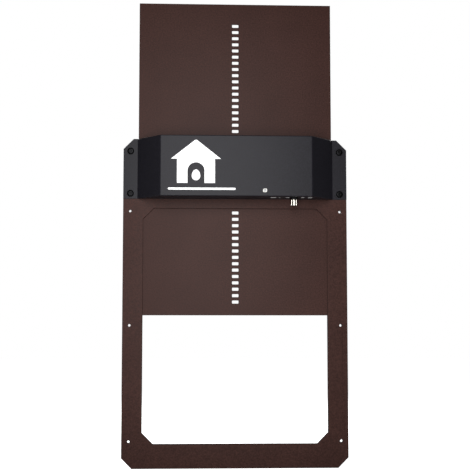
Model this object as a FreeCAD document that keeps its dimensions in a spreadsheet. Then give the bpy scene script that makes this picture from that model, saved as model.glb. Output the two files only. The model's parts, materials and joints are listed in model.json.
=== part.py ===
import FreeCAD, Part
import Sketcher
import math
import os

# Automatic coop door: a toothed-hole door panel slides in a flat aluminium frame, driven by a
# sprocket and worm drive under a black sheet-metal cover.
# Frame of reference: +X right, +Z up, the wall lies at Y = 0 and everything stands out towards -Y.
# The origin is the centre of the mounting-hole grid on the back face. "Depth" means distance from
# the wall, so a depth of d is at Y = -d. The stored pose has the panel partly raised.

doc = FreeCAD.newDocument("coop_door")
sheet = doc.addObject("Spreadsheet::Sheet", "Dim")

SIZES = {
    # how far a joined or cutting feature runs past the face that it meets
    "overrun": 1.0, "slight_overrun": 0.2, "tail_overrun": 0.01,
    # frame outline and opening
    "frame_width": 320.0, "frame_height": 466.0, "frame_top": 266.0, "frame_corner": 14.5,
    "cross_member": 99.5, "sill": 34.0, "stile": 28.5, "opening_corner": 15.5,
    # wall fixings: two columns of three holes
    "mount_spacing": 300.0, "mount_pitch": 162.4, "mount_hole": 1.8,
    # sheets and the channel between them
    "rear_sheet": 1.5, "channel_depth": 3.0, "front_sheet": 2.0, "rail_inset": 1.0,
    "stop_gap": 0.2,
    # rivets that join the two frame plates through the rails
    "rivet_radius": 1.6, "rivet_head": 2.8, "rivet_bite": 1.2,
    "rivet_clearance": 0.05, "rivet_inset": 10.5, "rivet_pitch": 162.4, "rivet_top_drop": 48.0,
    "sill_rivet_spacing": 95.0, "sill_rivet_rise": 14.5,
    # sliding panel and its column of slots
    "panel_width": 277.4, "panel_height": 451.6, "panel_sheet": 1.8, "slide_gap": 0.6,
    "slot_pitch": 9.1, "slot_width": 9.2, "slot_height": 4.35, "slot_corner": 1.0,
    "slot_margin": 32.3, "slot_foot": 15.0, "meshed_slot": 23, "closed_overlap": 5.2,
    # wear pads on the rear plate beside the slots
    "pad_width": 14.0, "pad_height": 62.0, "pad_gap": 0.25, "pad_offset": 30.0,
    # sheet-metal cover
    "cover_height": 86.0, "cover_depth": 38.2, "cover_sheet": 1.2, "ear_width": 19.2,
    "side_slant": 34.0, "ear_hole": 2.7, "ear_screw_inset": 10.2, "ear_screw_drop": 17.6,
    "ear_screw_spacing": 60.9, "ear_screw_radius": 2.45, "ear_tapping": 2.5,
    "ear_head_radius": 4.9, "ear_head_height": 2.75, "ear_socket": 3.2, "ear_screw_end_gap": 0.3,
    # button heads, as shares of the head's radius and height
    "head_rim": 0.3, "head_shoulder": 0.86, "head_shoulder_rise": 0.75, "head_crown": 0.55,
    # light sensor in the cover's face
    "sensor_x": 39.9, "sensor_rise": 8.1, "window_width": 4.1, "window_height": 3.5,
    "window_corner": 0.8, "bezel_rim": 0.75, "bezel_proud": 0.3, "window_gap": 0.05,
    "holder_width": 15.0, "holder_height": 12.0, "holder_depth": 4.5, "sensor_board_sheet": 1.2,
    "photocell_radius": 2.6, "photocell_height": 2.0,
    # selector on the underside
    "selector_x": 82.0, "selector_out": 22.5, "selector_bush": 3.5, "selector_bush_gap": 0.1,
    "selector_nut_flats": 10.0, "selector_nut_height": 2.0, "selector_bush_length": 3.0,
    "switch_radius": 8.5, "switch_height": 9.0, "switch_end_wall": 2.0, "stem_end_gap": 1.0,
    "knob_radius": 3.95, "knob_length": 8.4,
    "knob_gap": 0.1, "knob_stem": 1.5, "stem_clearance": 0.05, "knob_chamfer": 0.5,
    "pointer_width": 1.2, "pointer_depth": 0.7, "pointer_margin": 1.6, "knurl_count": 18,
    "knurl_radius": 0.35,
    # sprocket that drives the slots
    "sprocket_drop": 41.8, "sprocket_teeth": 10, "sprocket_width": 7.0, "tooth_reach": 1.1,
    "tooth_root_half": 1.5, "tooth_tip_half": 0.9, "root_clearance": 0.6, "hub_radius": 6.5,
    "hub_length": 5.5, "window_side_gap": 3.5, "window_end_gap": 1.5,
    # worm drive
    "shaft_radius": 3.0, "shaft_clearance": 0.03, "gear_module": 0.8, "wheel_teeth": 20,
    "wheel_width": 4.0, "wheel_offset": 18.5, "wheel_hub": 5.0, "wheel_hub_length": 3.0,
    "worm_pitch_radius": 3.4, "addendum": 0.7, "dedendum": 0.9, "worm_turns": 6,
    "worm_length": 18.0, "flank_half": 0.5, "flank_slope": 0.364, "gap_flare": 0.1,
    "gap_floor_ease": 0.8, "motor_shaft": 1.0,
    "pin_radius": 1.0, "shaft_end": 2.2, "clip_sheet": 0.6, "clip_radius": 5.0,
    "clip_groove": 0.4, "clip_margin": 0.25, "clip_mouth": 3.6,
    # gear housing, open towards the frame plate
    "housing_width": 23.0, "housing_wall": 3.0, "housing_rise": 13.0, "housing_front_gap": 0.6,
    "housing_end_wall": 2.5, "foot_height": 8.0, "foot_sheet": 3.0, "bush_wall": 1.5,
    "bush_flange": 1.2, "bush_flange_sheet": 0.8, "foot_screw_spacing": 15.0,
    # outboard bearing bracket
    "bracket_start": 9.6, "bracket_sheet": 3.0, "bracket_width": 14.0, "bracket_foot": 13.0,
    "bracket_screw_spacing": 8.0, "bracket_rim": 2.0,
    # motor
    "motor_radius": 10.0, "motor_flat": 7.7, "motor_length": 24.0, "motor_boss": 3.0,
    "motor_boss_length": 1.5, "motor_boss_gap": 0.1, "motor_screw_offset": 6.5,
    "motor_tail_radius": 4.2, "motor_tail": 1.0, "rotor_end_gap": 0.3, "rotor_bite": 6.0,
    "motor_screw": 1.0, "motor_screw_hole": 1.15, "motor_screw_head": 1.8,
    "motor_screw_head_height": 1.2, "motor_screw_end_gap": 0.05,
    # small screws
    "small_screw": 1.45, "small_tapping": 1.5, "small_clearance_hole": 1.7, "small_head": 2.75,
    "small_head_height": 1.8, "small_socket": 2.0, "small_end_gap": 0.2,
    # battery holder with four AA cells
    "cell_radius": 7.1, "cell_length": 49.2, "cell_button": 2.7, "cell_button_length": 1.2,
    "cell_pitch": 15.6, "cell_count": 4, "cell_gap": 0.3, "holder_x": -112.0, "tray_wall": 1.8,
    "tray_floor": 2.4, "tray_depth": 15.5, "tray_rise": 9.0, "tray_head_height": 1.08,
    "contact_sheet": 0.4,
    "contact_side": 9.0, "contact_play": 0.3,
    # controller board
    "board_x": 34.0, "board_rise": 12.0, "board_width": 66.0, "board_height": 56.0,
    "board_sheet": 1.6, "board_hole_inset": 4.0, "spacer_length": 6.0, "spacer_radius": 3.0,
    "chip_side": 12.0, "chip_height": 1.6, "chip_x": 26.4, "chip_rise": 30.8,
    "capacitor_radius": 4.0, "capacitor_height": 9.0, "capacitor_spacing": 12.0,
    "capacitor_x": 46.2, "capacitor_rise": 34.72,
    "terminal_pitch": 5.0, "terminal_depth": 8.0, "terminal_height": 9.0, "terminal_count": 6,
    "terminal_x": 12.0, "terminal_drop": 8.5, "wire_bite": 4.0, "wire_rise": 2.5, "wire_hole": 1.1,
}

for line, (alias, size) in enumerate(SIZES.items(), start=1):
    cell = "A%d" % line
    sheet.set(cell, str(size))
    sheet.setAlias(cell, alias)
doc.recompute()

nodes = []

FRONT = "XZ_Plane"   # a sketch seen from the front: pads grow towards -Y
SIDE = "YZ_Plane"    # a sketch seen from the right: pads grow towards +X
PLAN = "XY_Plane"    # a sketch seen from above: pads grow towards +Z


# --- ways of drawing -------------------------------------------------------------------------

def value(expression):
    """The number that an expression on the sheet gives."""
    return float(sheet.evalExpression(str(expression)))


def new_body(label, x="0", y="0", z="0", several=False):
    """A sub-part, placed by expressions. With several, it may hold a group of solids."""
    body = doc.addObject("PartDesign::Body", label)
    body.Label = label
    body.AllowCompound = several
    for axis, expression in zip("xyz", (x, y, z)):
        body.setExpression("Placement.Base." + axis, expression)
    nodes.append(body)
    return body


def new_sketch(body, role, offset="0"):
    """A sketch on one of the body's origin planes, moved along its normal by offset."""
    sketch = body.newObject("Sketcher::SketchObject", "sketch")
    plane = next(part for part in body.Origin.OriginFeatures if part.Role == role)
    sketch.AttachmentSupport = [(plane, "")]
    sketch.MapMode = "FlatFace"
    sketch.setExpression("AttachmentOffset.Base.z", offset)
    return sketch


def tie(sketch, constraint, expression):
    """Add a dimension and bind it to the sheet."""
    index = sketch.addConstraint(constraint)
    sketch.setExpression("Constraints[%d]" % index, expression)


def pin(sketch, edge, point, x, y):
    """Hold one sketch point at x, y from the sketch's origin."""
    tie(sketch, Sketcher.Constraint("DistanceX", -1, 1, edge, point, value(x)), x)
    tie(sketch, Sketcher.Constraint("DistanceY", -1, 1, edge, point, value(y)), y)


def polygon(sketch, corners):
    """A closed outline of straight edges through the corners."""
    points = [FreeCAD.Vector(value(x), value(y), 0) for x, y in corners]
    edges = [sketch.addGeometry(Part.LineSegment(start, end), False)
             for start, end in zip(points, points[1:] + points[:1])]
    for edge, following, (x, y) in zip(edges, edges[1:] + edges[:1], corners):
        sketch.addConstraint(Sketcher.Constraint("Coincident", edge, 2, following, 1))
        pin(sketch, edge, 1, x, y)


def rectangle(sketch, left, bottom, right, top):
    polygon(sketch, [(left, bottom), (right, bottom), (right, top), (left, top)])


def chamfered_rectangle(sketch, left, bottom, right, top, cut):
    """A rectangle with its four corners cut at 45 degrees."""
    polygon(sketch, [
        (f"{left} + {cut}", bottom), (f"{right} - {cut}", bottom),
        (right, f"{bottom} + {cut}"), (right, f"{top} - {cut}"),
        (f"{right} - {cut}", top), (f"{left} + {cut}", top),
        (left, f"{top} - {cut}"), (left, f"{bottom} + {cut}")])


def circle(sketch, x, y, radius):
    centre = FreeCAD.Vector(value(x), value(y), 0)
    ring = sketch.addGeometry(Part.Circle(centre, FreeCAD.Vector(0, 0, 1), value(radius)), False)
    pin(sketch, ring, 3, x, y)
    tie(sketch, Sketcher.Constraint("Radius", ring, value(radius)), radius)


def rounded_rectangle(sketch, x, y, width, height, radius):
    """A rectangle about x, y whose corners are arcs."""
    normal = FreeCAD.Vector(0, 0, 1)
    quarter = math.pi / 2
    corners = []
    for turn, (side, rise) in enumerate(((1, 1), (-1, 1), (-1, -1), (1, -1))):
        centre_x = f"{x} + {side} * ({width} / 2 - {radius})"
        centre_y = f"{y} + {rise} * ({height} / 2 - {radius})"
        centre = FreeCAD.Vector(value(centre_x), value(centre_y), 0)
        ring = Part.Circle(centre, normal, value(radius))
        arc = sketch.addGeometry(Part.ArcOfCircle(ring, turn * quarter, (turn + 1) * quarter), False)
        pin(sketch, arc, 3, centre_x, centre_y)
        tie(sketch, Sketcher.Constraint("Radius", arc, value(radius)), radius)
        corners.append((arc, sketch.getPoint(arc, 1), sketch.getPoint(arc, 2)))
    for (arc, _, leaving), (following, arriving, _) in zip(corners, corners[1:] + corners[:1]):
        edge = sketch.addGeometry(Part.LineSegment(leaving, arriving), False)
        sketch.addConstraint(Sketcher.Constraint("Tangent", arc, 2, edge, 1))
        sketch.addConstraint(Sketcher.Constraint("Tangent", edge, 2, following, 1))


def hexagon(sketch, x, y, across_flats):
    """A hexagon about x, y with two flats upright."""
    corners = []
    for step in range(6):
        angle = math.radians(30 + 60 * step)
        reach = f"{across_flats} / 2 / cos(30)"
        corners.append((f"{x} + {reach} * {math.cos(angle):.9f}",
                        f"{y} + {reach} * {math.sin(angle):.9f}"))
    polygon(sketch, corners)


def pad(body, sketch, length):
    feature = body.newObject("PartDesign::Pad", "pad")
    feature.Profile = sketch
    feature.setExpression("Length", length)
    return feature


def cut(body, sketch, length=None):
    """A pocket that goes the same way as a pad, right through unless a length is given."""
    feature = body.newObject("PartDesign::Pocket", "pocket")
    feature.Profile = sketch
    feature.Reversed = True
    if length is None:
        feature.Type = "ThroughAll"
    else:
        feature.setExpression("Length", length)
    return feature


def revolve(body, sketch, axis):
    feature = body.newObject("PartDesign::Revolution", "revolution")
    feature.Profile = sketch
    feature.ReferenceAxis = (sketch, [axis])
    feature.Angle = 360
    return feature


def polar(body, features, sketch, axis, count):
    """Repeat features evenly round an axis of a sketch."""
    pattern = body.newObject("PartDesign::PolarPattern", "polar")
    pattern.Originals = features
    pattern.Axis = (sketch, [axis])
    pattern.Angle = 360
    pattern.setExpression("Occurrences", count)
    body.Tip = pattern
    return pattern


def row(body, features, sketch, axis, count, spacing):
    """Repeat features, or with none the whole body so far, in a row along an axis of a sketch."""
    doc.recompute()
    pattern = body.newObject("PartDesign::LinearPattern", "row")
    pattern.Originals = features
    if not features:
        pattern.TransformMode = "Whole shape"
    pattern.Direction = (sketch, [axis])
    pattern.Mode = "Spacing"
    pattern.setExpression("Offset", spacing)
    pattern.setExpression("Occurrences", count)
    body.Tip = pattern
    return pattern


# --- places that several sub-parts share -----------------------------------------------------

half_width = "(Dim.frame_width / 2)"
frame_bottom = "(Dim.frame_top - Dim.frame_height)"
opening_side = f"({half_width} - Dim.stile)"
opening_top = "(Dim.frame_top - Dim.cross_member)"
opening_bottom = f"({frame_bottom} + Dim.sill)"
channel_front = "(Dim.rear_sheet + Dim.channel_depth)"
front_depth = f"({channel_front} + Dim.front_sheet)"
rail_inner = "(Dim.panel_width / 2 + Dim.slide_gap)"
rail_outer = f"({half_width} - Dim.rail_inset)"
mount_x = "(Dim.mount_spacing / 2)"
rivet_x = f"({half_width} - Dim.rivet_inset)"
rivet_top = "(Dim.frame_top - Dim.rivet_top_drop)"
sill_rivet_z = f"({frame_bottom} + Dim.sill_rivet_rise)"
rivet_hole = "(Dim.rivet_radius + Dim.rivet_clearance)"

pitch_radius = "(Dim.slot_pitch * Dim.sprocket_teeth / 2 / pi)"
panel_middle = "(Dim.rear_sheet + Dim.channel_depth / 2)"
axis_depth = f"({panel_middle} + {pitch_radius})"
axis_height = "(Dim.frame_top - Dim.sprocket_drop)"
slot_count = "(floor((Dim.panel_height - Dim.slot_margin - Dim.slot_foot) / Dim.slot_pitch) + 1)"
panel_top = f"({axis_height} + Dim.slot_margin + Dim.meshed_slot * Dim.slot_pitch)"
sprocket_root = f"({pitch_radius} - Dim.panel_sheet / 2 - Dim.root_clearance)"
sprocket_tip = f"({pitch_radius} + Dim.tooth_reach)"
sprocket_edge = "(Dim.sprocket_width / 2)"
window_side = f"({sprocket_edge} + Dim.window_side_gap)"
plate_reach = f"({axis_depth} - {front_depth})"
window_end = f"(sqrt({sprocket_tip} * {sprocket_tip} - {plate_reach} * {plate_reach}) + Dim.window_end_gap)"

cover_bottom = "(Dim.frame_top - Dim.cover_height)"
cover_base = f"({half_width} - Dim.ear_width)"
cover_face = f"({cover_base} - Dim.side_slant)"
face_depth = f"({front_depth} + Dim.cover_depth)"
ear_screw_x = f"({half_width} - Dim.ear_screw_inset)"
ear_screw_high = "(Dim.frame_top - Dim.ear_screw_drop)"
ear_screw_low = f"({ear_screw_high} - Dim.ear_screw_spacing)"
selector_depth = f"({front_depth} + Dim.selector_out)"

wheel_radius = "(Dim.gear_module * Dim.wheel_teeth / 2)"
wheel_tip = f"({wheel_radius} + Dim.addendum)"
worm_tip = "(Dim.worm_pitch_radius + Dim.addendum)"
worm_root = "(Dim.worm_pitch_radius - Dim.dedendum)"
worm_lead = "(Dim.gear_module * pi)"
worm_depth = f"({axis_depth} + {wheel_radius} + Dim.worm_pitch_radius)"
worm_slope = f"({worm_lead} / (2 * pi * Dim.worm_pitch_radius))"
housing_left = "(-Dim.wheel_offset - Dim.housing_width / 2)"
housing_right = "(-Dim.wheel_offset + Dim.housing_width / 2)"
housing_inner = "(Dim.housing_width - 2 * Dim.housing_wall)"
housing_inner_depth = f"({worm_depth} + {worm_tip} + Dim.housing_front_gap - {front_depth})"
bush_radius = "(Dim.shaft_radius + Dim.bush_wall)"
bush_bore = "(Dim.shaft_radius + Dim.shaft_clearance)"
bracket_end = "(Dim.bracket_start + Dim.bracket_sheet)"
clip_start_right = f"({bracket_end} + Dim.bush_flange_sheet + Dim.clip_margin)"
clip_start_left = f"({housing_left} - Dim.bush_flange_sheet - Dim.clip_margin - Dim.clip_sheet)"
foot_screw_z = "(Dim.housing_rise + Dim.foot_height / 2)"
foot_screw_x = "(Dim.foot_screw_spacing / 2)"
bracket_screw_x = f"({bracket_end} + Dim.bracket_foot / 2)"
board_left = "Dim.board_x"
board_bottom = f"({cover_bottom} + Dim.board_rise)"
board_depth = f"({front_depth} + Dim.spacer_length)"
board_hole_span = "(Dim.board_width - 2 * Dim.board_hole_inset)"
board_hole_rise = "(Dim.board_height - 2 * Dim.board_hole_inset)"
tray_inner = "(Dim.cell_length + Dim.cell_button_length + 2 * Dim.contact_sheet + Dim.contact_play)"
tray_length = f"({tray_inner} + 2 * Dim.tray_wall)"
tray_height = "(Dim.cell_pitch * Dim.cell_count + 2 * Dim.tray_wall)"
tray_bottom = f"({cover_bottom} + Dim.tray_rise)"
tray_screw_x = f"(Dim.holder_x + {tray_length} / 2)"
tray_screw_spacing = "(2 * Dim.cell_pitch)"
tray_screw_low = f"({tray_bottom} + Dim.tray_wall + Dim.cell_pitch)"


# --- frame -----------------------------------------------------------------------------------

def frame_plate(label, depth, thickness):
    """A flat plate with cut corners, a cut-cornered opening and the six wall-fixing holes."""
    body = new_body(label, y=f"-({depth})")
    outline = new_sketch(body, FRONT)
    chamfered_rectangle(outline, f"-{half_width}", frame_bottom, half_width, "Dim.frame_top",
                        "Dim.frame_corner")
    pad(body, outline, thickness)
    opening = new_sketch(body, FRONT)
    chamfered_rectangle(opening, f"-{opening_side}", opening_bottom, opening_side, opening_top,
                        "Dim.opening_corner")
    cut(body, opening)
    holes = new_sketch(body, FRONT)
    for side in (-1, 1):
        for level in (-1, 0, 1):
            circle(holes, f"{side} * {mount_x}", f"{level} * Dim.mount_pitch", "Dim.mount_hole")
    cut(body, holes)
    return body


def rivet_places():
    """The centres of the nine rivets, seen from the front."""
    places = [(f"{side} * {rivet_x}", height) for side in (-1, 1)
              for height in (rivet_top, "Dim.rivet_pitch / 2", "-Dim.rivet_pitch / 2")]
    places += [(f"{step} * Dim.sill_rivet_spacing", sill_rivet_z) for step in (-1, 0, 1)]
    return places


# the rear plate lies against the wall and has countersinks for the rivets
rear_frame = frame_plate("rear_frame", "0", "Dim.rear_sheet")
rivet_holes = new_sketch(rear_frame, FRONT)
countersinks = new_sketch(rear_frame, FRONT)
for x, z in rivet_places():
    circle(rivet_holes, x, z, rivet_hole)
    circle(countersinks, x, z, "Dim.rivet_head + Dim.rivet_clearance")
cut(rear_frame, rivet_holes)
sinks = cut(rear_frame, countersinks, "(Dim.rivet_head - Dim.rivet_radius)")
sinks.TaperAngle = -45

# the front plate has blind rivet seats, a window for the sprocket and tapped holes for the drive
front_frame = frame_plate("front_frame", channel_front, "Dim.front_sheet")
seats = new_sketch(front_frame, FRONT)
for x, z in rivet_places():
    circle(seats, x, z, rivet_hole)
cut(front_frame, seats, "Dim.rivet_bite")
window = new_sketch(front_frame, FRONT)
rectangle(window, f"-{window_side}", f"{axis_height} - {window_end}",
          window_side, f"{axis_height} + {window_end}")
cut(front_frame, window)
plate_holes = new_sketch(front_frame, FRONT)
for side in (-1, 1):
    for height in (ear_screw_low, ear_screw_high):
        circle(plate_holes, f"{side} * {ear_screw_x}", height, "Dim.ear_hole")
    for shift in (f"-{foot_screw_x}", foot_screw_x):
        circle(plate_holes, f"-Dim.wheel_offset + {shift}",
               f"{axis_height} + {side} * {foot_screw_z}", "Dim.small_tapping")
    circle(plate_holes, bracket_screw_x, f"{axis_height} + {side} * Dim.bracket_screw_spacing / 2",
           "Dim.small_tapping")
for column in (0, 1):
    for level in (0, 1):
        circle(plate_holes, f"{board_left} + Dim.board_hole_inset + {column} * {board_hole_span}",
               f"{board_bottom} + Dim.board_hole_inset + {level} * {board_hole_rise}",
               "Dim.small_tapping")
for level in (0, 1):
    circle(plate_holes, tray_screw_x, f"{tray_screw_low} + {level} * {tray_screw_spacing}",
           "Dim.small_tapping")
cut(front_frame, plate_holes)


def guide_rail(label, side):
    """A flat bar that spaces the plates apart beside the panel. Side is -1 left or 1 right."""
    body = new_body(label, y="-Dim.rear_sheet")
    outline = new_sketch(body, FRONT)
    top = "Dim.frame_top - Dim.rail_inset"
    bottom = f"{frame_bottom} + Dim.rail_inset"
    polygon(outline, [
        (f"{side} * {rail_inner}", bottom),
        (f"{side} * ({rail_outer} - Dim.frame_corner)", bottom),
        (f"{side} * {rail_outer}", f"{bottom} + Dim.frame_corner"),
        (f"{side} * {rail_outer}", f"{top} - Dim.frame_corner"),
        (f"{side} * ({rail_outer} - Dim.frame_corner)", top),
        (f"{side} * {rail_inner}", top)])
    pad(body, outline, "Dim.channel_depth")
    holes = new_sketch(body, FRONT)
    for level in (-1, 0, 1):
        circle(holes, f"{side} * {mount_x}", f"{level} * Dim.mount_pitch", "Dim.mount_hole")
    for height in (rivet_top, "Dim.rivet_pitch / 2", "-Dim.rivet_pitch / 2"):
        circle(holes, f"{side} * {rivet_x}", height, rivet_hole)
    for height in (ear_screw_low, ear_screw_high):
        circle(holes, f"{side} * {ear_screw_x}", height, "Dim.ear_tapping")
    cut(body, holes)


guide_rail("guide_rail_left", -1)
guide_rail("guide_rail_right", 1)

# the strip across the sill closes the channel and stops the panel
bottom_stop = new_body("bottom_stop", y="-Dim.rear_sheet")
strip = new_sketch(bottom_stop, FRONT)
rectangle(strip, f"-{rail_inner} + Dim.stop_gap", f"{frame_bottom} + Dim.rail_inset",
          f"{rail_inner} - Dim.stop_gap", f"{opening_bottom} - Dim.closed_overlap")
pad(bottom_stop, strip, "Dim.channel_depth")
strip_holes = new_sketch(bottom_stop, FRONT)
for step in (-1, 0, 1):
    circle(strip_holes, f"{step} * Dim.sill_rivet_spacing", sill_rivet_z, rivet_hole)
cut(bottom_stop, strip_holes)


def rivets(label, x, z, sketch_axis, count, spacing):
    """A row of rivets: heads flush in the rear plate, ends blind in the front plate."""
    body = new_body(label, x=x, z=z, several=True)
    profile = new_sketch(body, PLAN)
    end = f"-({channel_front} + Dim.rivet_bite)"
    polygon(profile, [("0", "0"), ("Dim.rivet_head", "0"),
                      ("Dim.rivet_radius", "-(Dim.rivet_head - Dim.rivet_radius)"),
                      ("Dim.rivet_radius", end), ("0", end)])
    revolve(body, profile, "V_Axis")
    row(body, [], profile, sketch_axis, count, spacing)
    return body


rivets("sill_rivets", "-Dim.sill_rivet_spacing", sill_rivet_z, "H_Axis", "3",
       "Dim.sill_rivet_spacing")
for name, side in (("left", -1), ("right", 1)):
    rivets(f"side_rivets_{name}", f"{side} * {rivet_x}", "-Dim.rivet_pitch / 2", "N_Axis", "2",
           "Dim.rivet_pitch")
rivets("top_rivets", f"-{rivet_x}", rivet_top, "H_Axis", "2", f"2 * {rivet_x}")

# low-friction strips that keep the panel off the rear plate where the sprocket pushes it
wear_pads = new_body("wear_pads", x="-Dim.pad_offset", y="-Dim.rear_sheet", z=axis_height,
                     several=True)
pad_outline = new_sketch(wear_pads, FRONT)
rectangle(pad_outline, "-Dim.pad_width / 2", "-Dim.pad_height / 2", "Dim.pad_width / 2",
          "Dim.pad_height / 2")
pad(wear_pads, pad_outline, "(Dim.channel_depth - Dim.panel_sheet) / 2 - Dim.pad_gap")
row(wear_pads, [], pad_outline, "H_Axis", "2", "2 * Dim.pad_offset")

# --- sliding panel ---------------------------------------------------------------------------

door_panel = new_body("door_panel", y=f"-({panel_middle} - Dim.panel_sheet / 2)", z=panel_top)
panel_outline = new_sketch(door_panel, FRONT)
rectangle(panel_outline, "-Dim.panel_width / 2", "-Dim.panel_height", "Dim.panel_width / 2", "0")
pad(door_panel, panel_outline, "Dim.panel_sheet")
slot_outline = new_sketch(door_panel, FRONT)
rounded_rectangle(slot_outline, "0", f"-(Dim.slot_margin + ({slot_count} - 1) * Dim.slot_pitch)",
                  "Dim.slot_width", "Dim.slot_height", "Dim.slot_corner")
slot = cut(door_panel, slot_outline)
row(door_panel, [slot], slot_outline, "V_Axis", slot_count, "Dim.slot_pitch")

# --- cover -----------------------------------------------------------------------------------

cover = new_body("cover", y=f"-{front_depth}", z=cover_bottom)
slant_length = "sqrt(Dim.side_slant * Dim.side_slant + Dim.cover_depth * Dim.cover_depth)"
side_wall = f"(Dim.cover_sheet * {slant_length} / Dim.cover_depth)"
inner_face = f"({cover_face} + Dim.side_slant * Dim.cover_sheet / Dim.cover_depth - {side_wall})"
inner_depth = "(Dim.cover_depth - Dim.cover_sheet)"
shell = new_sketch(cover, PLAN)
polygon(shell, [(f"-{cover_base}", "0"), (f"-{cover_face}", "-Dim.cover_depth"),
                (cover_face, "-Dim.cover_depth"), (cover_base, "0")])
pad(cover, shell, "Dim.cover_height")
hollow = new_sketch(cover, PLAN, "Dim.cover_sheet")
polygon(hollow, [(f"-({cover_base} - {side_wall})", "0"), (f"-{inner_face}", f"-{inner_depth}"),
                 (inner_face, f"-{inner_depth}"), (f"{cover_base} - {side_wall}", "0")])
cut(cover, hollow, "Dim.cover_height - 2 * Dim.cover_sheet")
ears = new_sketch(cover, FRONT)
for side in (-1, 1):
    polygon(ears, [
        (f"{side} * ({cover_base} - {side_wall})", "0"), (f"{side} * {half_width}", "0"),
        (f"{side} * {half_width}", "Dim.cover_height - Dim.frame_corner"),
        (f"{side} * ({half_width} - Dim.frame_corner)", "Dim.cover_height"),
        (f"{side} * ({cover_base} - {side_wall})", "Dim.cover_height")])
pad(cover, ears, "Dim.cover_sheet")
ear_holes = new_sketch(cover, FRONT)
for side in (-1, 1):
    for height in (ear_screw_low, ear_screw_high):
        circle(ear_holes, f"{side} * {ear_screw_x}", f"{height} - {cover_bottom}", "Dim.ear_hole")
cut(cover, ear_holes, "Dim.cover_sheet")
sensor_hole = new_sketch(cover, FRONT, inner_depth)
rounded_rectangle(sensor_hole, "Dim.sensor_x", "Dim.sensor_rise",
                  "(Dim.window_width + 2 * Dim.window_gap)",
                  "(Dim.window_height + 2 * Dim.window_gap)", "Dim.window_corner")
cut(cover, sensor_hole, "Dim.cover_sheet")
selector_hole = new_sketch(cover, PLAN)
circle(selector_hole, "Dim.selector_x", "-Dim.selector_out",
       "Dim.selector_bush + Dim.selector_bush_gap")
cut(cover, selector_hole, "Dim.cover_sheet")


def screws(label, x, depth, z, size, spacing_x=None, spacing_z=None, length="0"):
    """Socket screws facing the front, seated at a depth, in a row or a two by two grid.

    size holds the shank radius, head radius, head height and socket width."""
    shank, head, height, socket = size
    body = new_body(label, x=x, y=f"-({depth})", z=z, several=True)
    profile = new_sketch(body, PLAN)
    polygon(profile, [("0", length), (shank, length), (shank, "0"), (head, "0"),
                      (head, f"-{height} * Dim.head_rim"),
                      (f"{head} * Dim.head_shoulder", f"-{height} * Dim.head_shoulder_rise"),
                      (f"{head} * Dim.head_crown", f"-{height}"), ("0", f"-{height}")])
    revolve(body, profile, "V_Axis")
    recess = new_sketch(body, FRONT, f"{height} * Dim.head_rim")
    hexagon(recess, "0", "0", socket)
    cut(body, recess)
    if spacing_x:
        row(body, [], profile, "H_Axis", "2", spacing_x)
    if spacing_z:
        row(body, [], profile, "N_Axis", "2", spacing_z)
    return body


ear_size = ("Dim.ear_screw_radius", "Dim.ear_head_radius", "Dim.ear_head_height", "Dim.ear_socket")
small_size = ("Dim.small_screw", "Dim.small_head", "Dim.small_head_height", "Dim.small_socket")
ear_grip = "Dim.cover_sheet + Dim.front_sheet + Dim.channel_depth - Dim.ear_screw_end_gap"
screws("cover_screws", f"-{ear_screw_x}", f"{front_depth} + Dim.cover_sheet", ear_screw_low,
       ear_size, f"2 * {ear_screw_x}", "Dim.ear_screw_spacing", ear_grip)

# --- light sensor ----------------------------------------------------------------------------

sensor_z = f"({cover_bottom} + Dim.sensor_rise)"
inside_face = f"({front_depth} + {inner_depth})"

bezel = new_body("sensor_bezel", x="Dim.sensor_x", y=f"-{face_depth}", z=sensor_z)
bezel_ring = new_sketch(bezel, FRONT)
rounded_rectangle(bezel_ring, "0", "0", "(Dim.window_width + 2 * Dim.bezel_rim)",
                  "(Dim.window_height + 2 * Dim.bezel_rim)",
                  "(Dim.window_corner + Dim.bezel_rim)")
rounded_rectangle(bezel_ring, "0", "0", "(Dim.window_width + 2 * Dim.window_gap)",
                  "(Dim.window_height + 2 * Dim.window_gap)", "Dim.window_corner")
pad(bezel, bezel_ring, "Dim.bezel_proud")

lens = new_body("sensor_window", x="Dim.sensor_x", y=f"-{inside_face}", z=sensor_z)
lens_outline = new_sketch(lens, FRONT)
rounded_rectangle(lens_outline, "0", "0", "Dim.window_width", "Dim.window_height",
                  "Dim.window_corner")
pad(lens, lens_outline, "Dim.cover_sheet + Dim.bezel_proud / 2")

holder = new_body("sensor_holder", x="Dim.sensor_x",
                  y=f"-({inside_face} - Dim.holder_depth)", z=sensor_z)
holder_outline = new_sketch(holder, FRONT)
rectangle(holder_outline, "-Dim.holder_width / 2", "-Dim.holder_height / 2",
          "Dim.holder_width / 2", "Dim.holder_height / 2")
pad(holder, holder_outline, "Dim.holder_depth")
holder_bore = new_sketch(holder, FRONT)
circle(holder_bore, "0", "0", "Dim.photocell_radius + Dim.window_gap")
cut(holder, holder_bore)

sensor_board = new_body("sensor_board", x="Dim.sensor_x",
                        y=f"-({inside_face} - Dim.holder_depth - Dim.sensor_board_sheet)",
                        z=sensor_z)
board_piece = new_sketch(sensor_board, FRONT)
rectangle(board_piece, "-Dim.holder_width / 2", "-Dim.holder_height / 2",
          "Dim.holder_width / 2", "Dim.holder_height / 2")
pad(sensor_board, board_piece, "Dim.sensor_board_sheet")

photocell = new_body("photocell", x="Dim.sensor_x", y=f"-({inside_face} - Dim.holder_depth)",
                     z=sensor_z)
cell_disc = new_sketch(photocell, FRONT)
circle(cell_disc, "0", "0", "Dim.photocell_radius")
pad(photocell, cell_disc, "Dim.photocell_height")

# --- selector --------------------------------------------------------------------------------

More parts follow.
